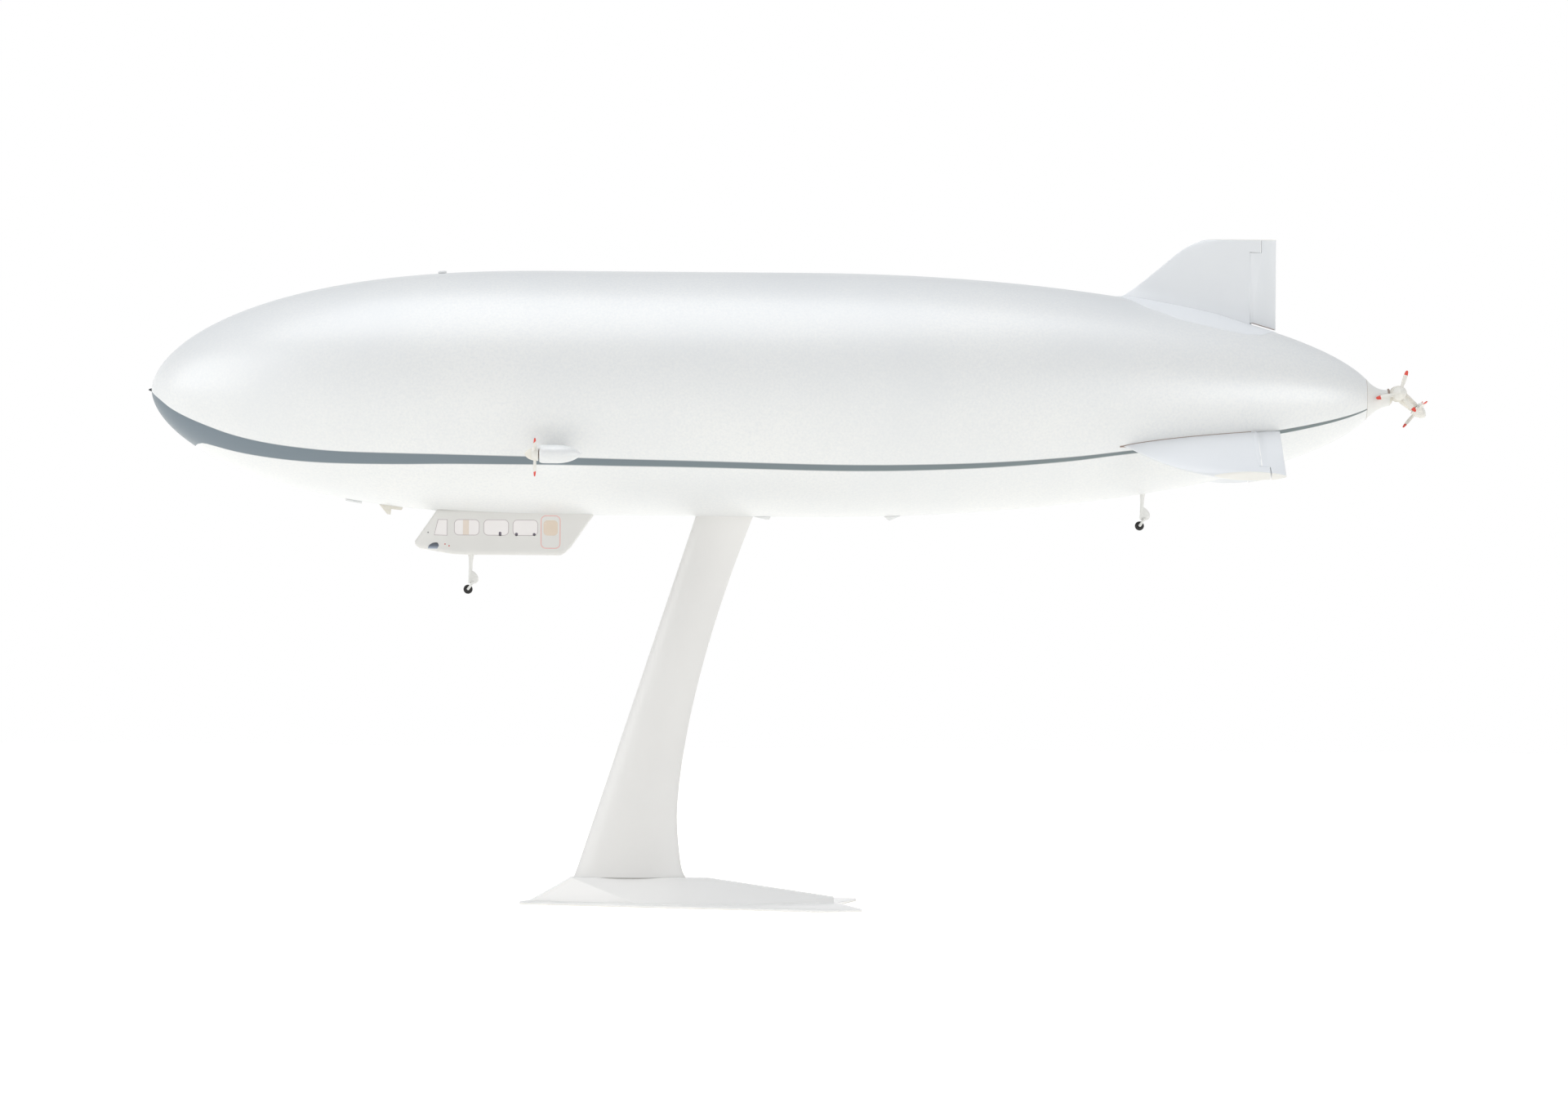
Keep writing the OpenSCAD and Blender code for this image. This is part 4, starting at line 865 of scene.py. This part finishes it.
def buildTail():
    seamRadius = hullRadius(hull["tailSeam"])
    length, end, rise = tail["coneLength"], tail["coneRadius"], tail["coneRise"]
    cone = [(length * f, blendTo(end, seamRadius, (1 - f) ** tail["conePower"])) for f in spread(0, 1, 24)]
    taper = loftRings("tail_taper", [
        circleRing((tail["seamX"] + d, 0, axisZ + rise * (d / length) ** 2), alongX, r, 96)
        for d, r in [(0, 1)] + cone + [(length, 1)]])
    finishPiece(taper, whiteAbs, ["tail_cone"], 40)
    line = [(d, seamRadius + r) for d, r in tail["seam"]]
    seam = turnedPiece("tail_seam_line", line, (tail["seamX"], 0, axisZ), alongX, 96)
    finishPiece(seam, seamAndShadowBrown, angle=30)
    lip = [(d, end + r) for d, r in tail["collar"]]
    collar = turnedPiece("tail_collar", lip, (tail["seamX"] + length, 0, axisZ + rise), alongX, 64)
    halfKept(collar, (0, 0, (axisZ + rise + tail["collarCut"]) * mm), (0, 0, 1))
    finishPiece(collar, seamAndShadowBrown, angle=40)
    shaft = Matrix.Translation((tail["shaftX"], 0, tail["shaftZ"]))
    turn = shaft @ Matrix.Rotation(math.radians(tail["rearAngle"]), 4, "Y")
    quarter = Matrix.Rotation(math.radians(90), 4, "Z")
    lateral = shaft @ Matrix.Translation((0, -tail["lateralY"], 0)) @ quarter
    buildPropeller("port_facing_propeller", tail["lateralTurn"], True, lateral, "lateral_prop",
                   "lateral_propeller", tail["lateralRadius"])
    rear = turn @ Matrix.Translation((tail["rearStart"], 0, 0)) @ Matrix.Scale(-1, 4, (1, 0, 0))
    buildPropeller("aft_facing_propeller", tail["rearTurn"], True, rear, "rear_prop", "rear_propeller")
    buildDrive(shaft, turn)
    print("tail built")


buildTail()


# gondola: places are distances from its nose and over its bottom

gondola = {"noseX": -80.4, "bottom": 102.3, "length": 52.3, "width": 11, "noseWidth": 4.6, "noseLength": 9.5,
           "taperX": 43.4, "taperPast": 4, "rearWidth": 7.7, "rake": 0.7, "height": 11.85,
           "chinHeight": 3.5,
           "chinLength": 2.9, "chinLow": 1.6, "chinEnd": 14, "heelX": 45.545, "heelHeight": 2.2,
           "heelLength": 3, "sink": 1.6, "wall": 0.8, "floor": 1.95, "corner": 1.2, "line": 0.16,
           "slack": -0.005,
           "windowX": [15.25, 23.85, 32.4], "windowZ": 8.05, "windowSize": (7.1, 4.35), "windowRound": 1.2,
           "doorX": 39.8, "doorSize": (5.35, 9.3), "doorZ": 6.85, "doorRound": 1.3, "doorLine": 0.22,
           "doorWindow": (4.2, 4.5), "screenHalf": 1.8, "post": (15.0, 1.75),
           "quarter": [(5.8, 5.85), (9.4, 5.75), (9.4, 10.2), (6.9, 10.2)],
           "seatTops": [(25.0, 6.2, 0.8, 1.25), (29.8, 6.1, 0.85, 0.95), (35.0, 6.1, 0.85, 0.85)],
           "lamps": [(8.9, 3.1, redLens), (10.1, 2.6, redLens), (3.9, 6.5, seatDark)], "lampRadius": 0.2}
chin = {"centre": (6.25, 1.75), "reach": (2.4, 0.88), "tall": 1.82, "foot": 6.62, "corner": (7.09, 2.6),
        "power": 0.7, "faces": (0.03, -0.2)}


def gondolaPoint(x, y, z):
    return (gondola["noseX"] + x, y, gondola["bottom"] + z)


def gondolaHalf(x):
    g = gondola
    if x > g["taperX"]:
        share = (x - g["taperX"]) / (g["length"] + g["taperPast"] - g["taperX"])
        return blendTo(g["width"], g["rearWidth"], share) / 2
    return blendTo(g["noseWidth"], g["width"], 1 - (1 - clamp(x / g["noseLength"])) ** 1.6) / 2


# the underside: a rounded chin, a long gentle rise towards the nose, and a raked heel
def gondolaLow(front, back):
    g = gondola
    if back > g["heelX"] - g["heelLength"]:
        share = (back - g["heelX"] + g["heelLength"]) / g["heelLength"]
        past = max(0, back - g["heelX"])
        return g["heelHeight"] * min(1, share) ** 1.4 + past / g["rake"]
    if front < g["chinLength"]:
        curve = 1 - math.sqrt(max(0, 1 - (1 - max(0, front) / g["chinLength"]) ** 2))
        return blendTo(g["chinLow"], g["chinHeight"], curve)
    return g["chinLow"] * max(0, (g["chinEnd"] - front) / (g["chinEnd"] - g["chinLength"])) ** 1.5


# a rectangle with round corners, from its upper right corner round to its lower right one
def roundedBox(left, right, low, high, r):
    points = []
    for cx, cz, start in ((right - r, high - r, 0), (left + r, high - r, 90),
                          (left + r, low + r, 180), (right - r, low + r, 270)):
        for i in range(9):
            a = math.radians(start + 90 * i / 8)
            points.append((cx + r * math.cos(a), cz + r * math.sin(a)))
    return points


def gondolaRing(x, inset):
    g = gondola
    slant = inset * 1.1
    high = min(g["chinHeight"] + 0.5 + max(0, x - slant) / g["rake"], g["height"] + g["sink"] - inset * 0.2)
    low = min(gondolaLow(x - slant, x + slant) + inset, high - 0.2)
    half = gondolaHalf(x) - inset
    corner = min(g["corner"], 0.45 * (high - low), 0.45 * half)
    return [gondolaPoint(x, y, z) for y, z in roundedBox(-half, half, low, high, corner)]


def gondolaBody(name, inset):
    noseEnd, heelStart = inset * 1.2 + 12, 42
    xs = [inset * 1.2 + 12 * f ** 1.7 for f in spread(0, 1, 18)]
    xs += spread(noseEnd, heelStart, 10)[1:] + spread(heelStart, gondola["length"] - inset * 1.2, 14)[1:]
    return loftRings(name, [gondolaRing(x, inset) for x in xs])


# an outline in X and Z, drawn from one distance abeam to another
def sidePrism(name, outline, side, near=1.5, far=7.5):
    return loftRings(name, [[gondolaPoint(x, side * y, z) for x, z in outline] for y in (near, far)])


def windowPrism(name, x, z, size, r, side, grow=0):
    w, h = size[0] / 2 + grow, size[1] / 2 + grow
    return sidePrism(name, [(x + u, z + v) for u, v in roundedBox(-w, w, -h, h, r + grow)], side, 3.2)


def quarterPrism(side, grow=0):
    ways = ((-1, -1), (1, -1), (1, 1), (-1, 1))
    outline = [(x + u * grow, z + v * grow) for (x, z), (u, v) in zip(gondola["quarter"], ways)]
    return sidePrism("prism", outline, side)


def doorPrism(grow=0):
    g = gondola
    return windowPrism("prism", g["doorX"], g["doorZ"], g["doorSize"], g["doorRound"], -1, grow)


def doorWindowPrism(side, grow=0):
    g = gondola
    return windowPrism("window", g["doorX"], g["windowZ"], g["doorWindow"], g["windowRound"], side, grow)


# the starboard side has a window where the port side has its door
def windowPrisms(side, grow):
    g = gondola
    prisms = [windowPrism("window", x, g["windowZ"], g["windowSize"], g["windowRound"], side, grow)
              for x in g["windowX"]]
    if side > 0:
        prisms.append(doorWindowPrism(side, grow))
    return joinPieces(prisms)


def screenPrism(shrink=0):
    half, tall = gondola["screenHalf"] - shrink, gondola["windowSize"][1] / 2 - shrink
    return boxPiece("prism", gondolaPoint(-1, -half, gondola["windowZ"] - tall),
                    gondolaPoint(8, half, gondola["windowZ"] + tall))


# the chin pane lies on the side: a long curve up from the nose, a round rear corner and a slanted rear edge
def chinPiece(name, side):
    (x0, z0), (ahead, behind), (endX, endZ) = chin["centre"], chin["reach"], chin["corner"]
    rings = []
    for x in spread(x0 - ahead * 0.99, endX - 0.02, 32):
        if x < x0:
            top = z0 + chin["tall"] * math.sqrt(1 - ((x0 - x) / ahead) ** 2)
        else:
            angle = math.acos(((x - x0) / behind) ** (1 / chin["power"]))
            top = z0 + chin["tall"] * math.sin(angle) ** chin["power"]
        low = z0 + max(0, (x - chin["foot"]) / (endX - chin["foot"])) * (endZ - z0)
        faces = []
        for out in chin["faces"]:
            faces.append([gondolaPoint(x, side * (gondolaSide(x, z) + out), z) for z in spread(low, top, 6)])
        rings.append(faces[0] + faces[1][::-1])
    return loftRings(name, rings)


# half the width at a height, in the round of the lower corner too
def gondolaSide(x, z):
    corner = gondola["corner"]
    sunk = max(0, gondolaLow(x, x) + corner - z)
    return gondolaHalf(x) - corner + math.sqrt(corner ** 2 - sunk * sunk)


# a flush inlay: what a cutter takes out of the wall, less what a smaller one takes
def inlaid(glass, name, cutter, core=None):
    piece = copiedPiece(glass, name)
    cutPiece(piece, cutter, "INTERSECT")
    if core:
        cutPiece(piece, core)
    return piece


def buildWindows(wall, glass, name, side):
    g = gondola
    lines = inlaid(glass, name + "_window_outlines", windowPrisms(side, g["line"]), windowPrisms(side, 0))
    rim = inlaid(glass, "rim", quarterPrism(side, g["line"]), quarterPrism(side))
    finishPiece(joinPieces([lines, rim]), greyLine)
    pane = inlaid(glass, name + "_window_panes", windowPrisms(side, g["slack"]))
    tops = joinPieces([windowPrism("top", x, z, (w, h), 0.4 * w, side) for x, z, w, h in g["seatTops"]])
    seats = inlaid(glass, name + "_seat_tops", copiedPiece(tops, "cutter"))
    postSize = (g["post"][1], g["windowSize"][1] - 0.01)
    post = windowPrism("post", g["post"][0], g["windowZ"], postSize, 0.05, side)
    frames = inlaid(glass, name + "_window_post", copiedPiece(post, "cutter"))
    cutPiece(pane, tops)
    cutPiece(pane, post)
    finishPiece(pane, milkyPane, [name + "_glazing"])
    finishPiece(seats, seatDark)
    finishPiece(frames, paleTan)
    quarter = inlaid(glass, name + "_quarter_window", quarterPrism(side, g["slack"]))
    finishPiece(quarter, milkyPane, [name + "_quarter_pane"])
    finishPiece(chinPiece(name + "_chin_pane", side), slatePane, angle=50)
    cutPiece(wall, windowPrisms(side, g["line"]))
    cutPiece(wall, quarterPrism(side, g["line"]))
    arc = [math.radians(15 * j) for j in range(7)]
    dome = [(0.14 * math.sin(a), g["lampRadius"] * math.cos(a)) for a in arc]
    for i, (x, z, lens) in enumerate(g["lamps"]):
        lamp = turnedPiece(name + "_cabin_lamp_" + str(i), [(-0.3, g["lampRadius"])] + dome,
                           gondolaPoint(x, side * gondolaHalf(x), z), side * alongY, 24)
        finishPiece(lamp, lens)


def buildGondola():
    g = gondola
    wall = gondolaBody("gondola_wall", 0)
    pan = copiedPiece(wall, "gondola_floor_pan")
    floorZ = (g["bottom"] + g["floor"]) * mm
    halfKept(pan, (0, 0, floorZ), (0, 0, -1))
    halfKept(wall, (0, 0, floorZ), (0, 0, 1))
    cutPiece(wall, gondolaBody("cabin_space", g["wall"]))
    glass = copiedPiece(wall, "glass")
    for name, side in sides:
        buildWindows(wall, glass, name, side)
    finishPiece(inlaid(glass, "front_screen", screenPrism(0.02)), milkyPane, ["windscreen"])
    cutPiece(wall, screenPrism())
    finishPiece(inlaid(glass, "door_outline", doorPrism(g["doorLine"]), doorPrism()), redLine)
    finishPiece(inlaid(glass, "door_window", doorWindowPrism(-1)), tanPane)
    door = inlaid(glass, "cabin_door_panel", doorPrism(-0.01), doorWindowPrism(-1))
    finishPiece(door, gondolaPaint, ["cabin_door"])
    cutPiece(wall, doorPrism(g["doorLine"]))
    bpy.data.objects.remove(glass)
    finishPiece(wall, gondolaPaint, ["gondola_shell"])
    finishPiece(pan, gondolaPaint, ["gondola_floor"])
    print("gondola built")


buildGondola()


# landing gear

gear = {"front": (-64.8, 92.2), "rear": (132.4, 112.2715), "wheelRadius": 1.35, "wheelWidth": 1.2,
        "hubRadius": 0.55, "legX": (0.55, 0.85), "legRadius": 0.52, "rootRadius": 1.15, "legFoot": 1.75,
        "legTop": {"front": 102.9, "rear": 122.6}, "flapReach": 2.5, "flapTall": 2.0, "flapRise": 3.75,
        "flapThick": 0.8, "flapDroop": 0.3, "flapFaces": [(-0.5, 0.16), (-0.36, 0), (0.36, 0), (0.5, 0.16)],
        "armEnd": (1.35, 1.95), "armRadius": 0.36, "armY": 1.06,
        "disc": [(0.02, 0.27), (0.02, 0.32), (-0.06, 0.36), (-0.08, 0.44), (0.02, 0.49), (0, 0.54)]}


# the rounded flap behind a leg, drawn as four outlines from one face to the other
def flapPiece(x, z):
    rings = []
    for y, shrink in gear["flapFaces"]:
        reach, tall = gear["flapReach"] - shrink, gear["flapTall"] - shrink
        ring = []
        for a in (math.radians(-90 + 180 * i / 24) for i in range(25)):
            back = reach * math.cos(a)
            ring.append((x + back, y * gear["flapThick"], z + tall * math.sin(a) - gear["flapDroop"] * back))
        rings.append(ring)
    return loftRings("flap", rings)


# the leg widens into what carries it, and two slanted arms reach from it to the axle
def legPiece(name, x, z):
    foot, top = z + gear["legFoot"], gear["legTop"][name]
    shares = spread(0, 1, 20)
    radii = [blendTo(gear["legRadius"], gear["rootRadius"], f ** 6) for f in shares]
    points = [(x + blendTo(*gear["legX"], f), 0, blendTo(foot, top, f)) for f in shares]
    strut = barPiece(name + "_gear_strut", points, radii)
    pieces = [strut, flapPiece(x + gear["legX"][0], z + gear["flapRise"])]
    endX, endZ, radius = x + gear["armEnd"][0], z + gear["armEnd"][1], gear["armRadius"]
    for y in (-gear["armY"], gear["armY"]):
        arm = [(x - 0.12, y, z - 0.14), (x, y, z), (blendTo(x, endX, 0.5), y, blendTo(z, endZ, 0.5)),
               (endX, y, endZ), (endX + 0.1, 0.8 * y, endZ + 0.14)]
        pieces.append(barPiece("arm", arm, [0.24, 0.4, radius, radius, 0.2]))
    yoke = [(endX, -gear["armY"], endZ), (endX, 0, endZ + 0.05), (endX, gear["armY"], endZ)]
    pieces.append(barPiece("yoke", yoke, [radius, 0.34, radius]))
    return joinPieces(pieces)


def buildGear():
    half, radius, hub = gear["wheelWidth"] / 2, gear["wheelRadius"], gear["hubRadius"]
    tread = [(half * math.cos(a), hub + (radius - hub) * math.sin(a) ** 0.7)
             for a in (math.radians(12 * i) for i in range(16))]
    disc = [((half + out) * side, r) for side in (-1, 1) for out, r in gear["disc"][::-side]]
    for name in ("front", "rear"):
        x, z = gear[name]
        finishPiece(legPiece(name, x, z), whiteAbs, [name + "_gear_leg"], 40)
        tyre = turnedPiece(name + "_wheel_tyre", tread, (x, 0, z), alongY)
        finishPiece(tyre, tyreRubber, [name + "_tyre"], 50, name + "_wheel")
        rim = turnedPiece(name + "_wheel_disc", disc, (x, 0, z), alongY, 40)
        finishPiece(rim, blackAbs, [name + "_wheel_hub"], 40, name + "_wheel")
    print("gear built")


buildGear()


# small fittings on the hull

def buildFittings():
    for node in ("top_valve_cover", "keel_plate", "front_keel_vent", "rear_keel_vent", "keel_antenna"):
        fitting = copiedNode(node, node.replace("keel", "belly") + "_fitting")
        roundEdges(fitting, 0.12, 3, 40)
        if node == "keel_antenna":
            finishPiece(fitting, warmAbs, [node], 40)
        else:
            finishPiece(fitting, plainPearl, [node], 40)
    print("fittings built")


buildFittings()


# CAD nodes that stay as they are
def dressNodes():
    finishes = {"steel": steelWire, "ivory_plastic": warmAbs, "pearl_paint": plainPearl,
                "white_plastic": finLacquer, "stand_plastic": standGloss, "clear_plastic": milkyPane,
                "dark_plastic": darkAbs,
                "tan_plastic": seatFlock, "black_rubber": tyreRubber}
    slots = {part["node"]: part["material_slot"] for part in frame["record"]["subparts"]}
    for name, node in frame["nodes"].items():
        node.data.materials.clear()
        node.data.materials.append(finishes[slots[name]])
    print("nodes dressed")


dressNodes()


# studio: a white sweep, three soft boxes and a pale sky that is dimmer on the camera's side

studio = {"floorSize": 3.2, "floorColour": "#f6f4f0", "floorGlow": 0.24, "floorSeen": 0.16,
          "glowColour": "#fffcf4", "skyHigh": ("#e9eef5", 1.2), "skyLow": ("#ffffff", 0.82), "skyTop": 0.8,
          "cameraSide": 0.14, "farSide": 0.8, "sideTurn": (-0.9, 0.1),
          "seenHigh": 0.4, "seenTurn": (0.1, 0.5),
          "lamps": [("left", (-1.7, -0.75, 0.85), 1.5, 12), ("right", (1.4, -1.35, 0.25), 1.1, 9.8),
                    ("top", (-0.2, -0.35, 1.8), 1.4, 12)],
          "aim": (0.02, 0, 0.13)}
camera = {"aim": (0.0279, 0, 0.1047), "distance": 2.04, "yaw": 1.0, "roll": 0.43, "pixels": 8500,
          "width": 1920, "sensor": 36}


# 1 where the floor and the backdrop are seen, directly, in a gloss or through a pane
def seenRays(tree):
    rays = addNode(tree, "LightPath").outputs
    seen = addNode(tree, "Math", {0: rays["Is Camera Ray"], 1: rays["Is Glossy Ray"]}, operation="ADD")
    return addNode(tree, "Math", {0: seen, 1: rays["Is Transmission Ray"]}, operation="ADD", use_clamp=True)


def buildFloor():
    deselectAll()
    bpy.ops.mesh.primitive_plane_add(size=studio["floorSize"], location=(0, 0, 0))
    floor = bpy.context.object
    floor.name = "studio_floor"
    material = bpy.data.materials.new("white_sweep")
    material.use_nodes = True
    tree = material.node_tree
    tree.nodes.remove(tree.nodes["Principled BSDF"])
    matt = addNode(tree, "BsdfDiffuse", {"Color": studio["floorColour"]})
    glow = addNode(tree, "Math", {0: seenRays(tree), 1: studio["floorSeen"], 2: studio["floorGlow"]},
                   operation="MULTIPLY_ADD")
    light = addNode(tree, "Emission", {"Color": studio["glowColour"], "Strength": glow})
    both = addNode(tree, "AddShader", {0: matt, 1: light})
    fillNode(tree, tree.nodes["Material Output"], {"Surface": both})
    floor.data.materials.append(material)


def buildSky():
    world = bpy.data.worlds.new("studio_sky")
    bpy.context.scene.world = world
    world.use_nodes = True
    tree = world.node_tree
    coords = addNode(tree, "TexCoord")
    height = addNode(tree, "SeparateXYZ", {0: coords.outputs["Generated"]})
    rise = addNode(tree, "MapRange", {"Value": height.outputs["Z"], "From Max": studio["skyTop"]})
    tones = []
    for colour, strength in (studio["skyLow"], studio["skyHigh"]):
        tones.append([c * strength for c in fromHex(colour)[:3]] + [1])
    shade = blendColours(tree, rise, tones[0], tones[1])
    low, high = studio["sideTurn"]
    away = addNode(tree, "MapRange", {"Value": height.outputs["Y"], "From Min": low, "From Max": high,
                                      "To Min": studio["cameraSide"], "To Max": studio["farSide"]})
    shade = addNode(tree, "VectorMath", {0: shade, 3: away}, operation="SCALE")
    low, high = studio["seenTurn"]
    above = addNode(tree, "MapRange", {"Value": height.outputs["Z"], "From Min": low, "From Max": high})
    backdrop = blendColours(tree, above, (1, 1, 1, 1), [studio["seenHigh"]] * 3 + [1])
    fillNode(tree, tree.nodes["Background"], {"Color": blendColours(tree, seenRays(tree), shade, backdrop),
                                              "Strength": 1.0})


def buildLamps():
    for name, place, size, power in studio["lamps"]:
        deselectAll()
        bpy.ops.object.light_add(type="AREA", location=place)
        lamp = bpy.context.object
        lamp.name = name + "_softbox"
        lamp.data.size = size
        lamp.data.energy = power
        lamp.rotation_euler = (Vector(studio["aim"]) - Vector(place)).to_track_quat("-Z", "Y").to_euler()


def buildCamera():
    data = bpy.data.cameras.new("photo_camera")
    view = bpy.data.objects.new("photo_camera", data)
    bpy.context.scene.collection.objects.link(view)
    data.sensor_width = camera["sensor"]
    data.lens = camera["sensor"] * camera["pixels"] / camera["width"]
    turn = Matrix.Rotation(math.radians(-camera["yaw"]), 4, "Z") @ Matrix.Rotation(math.radians(90), 4, "X")
    turn = turn @ Matrix.Rotation(math.radians(camera["roll"]), 4, "Z")
    back = turn.to_3x3() @ Vector((0, 0, camera["distance"]))
    view.matrix_world = Matrix.Translation(Vector(camera["aim"]) + back) @ turn
    bpy.context.scene.camera = view
    bpy.context.scene.view_settings.view_transform = "Standard"


buildFloor()
buildSky()
buildLamps()
buildCamera()
print("studio built")
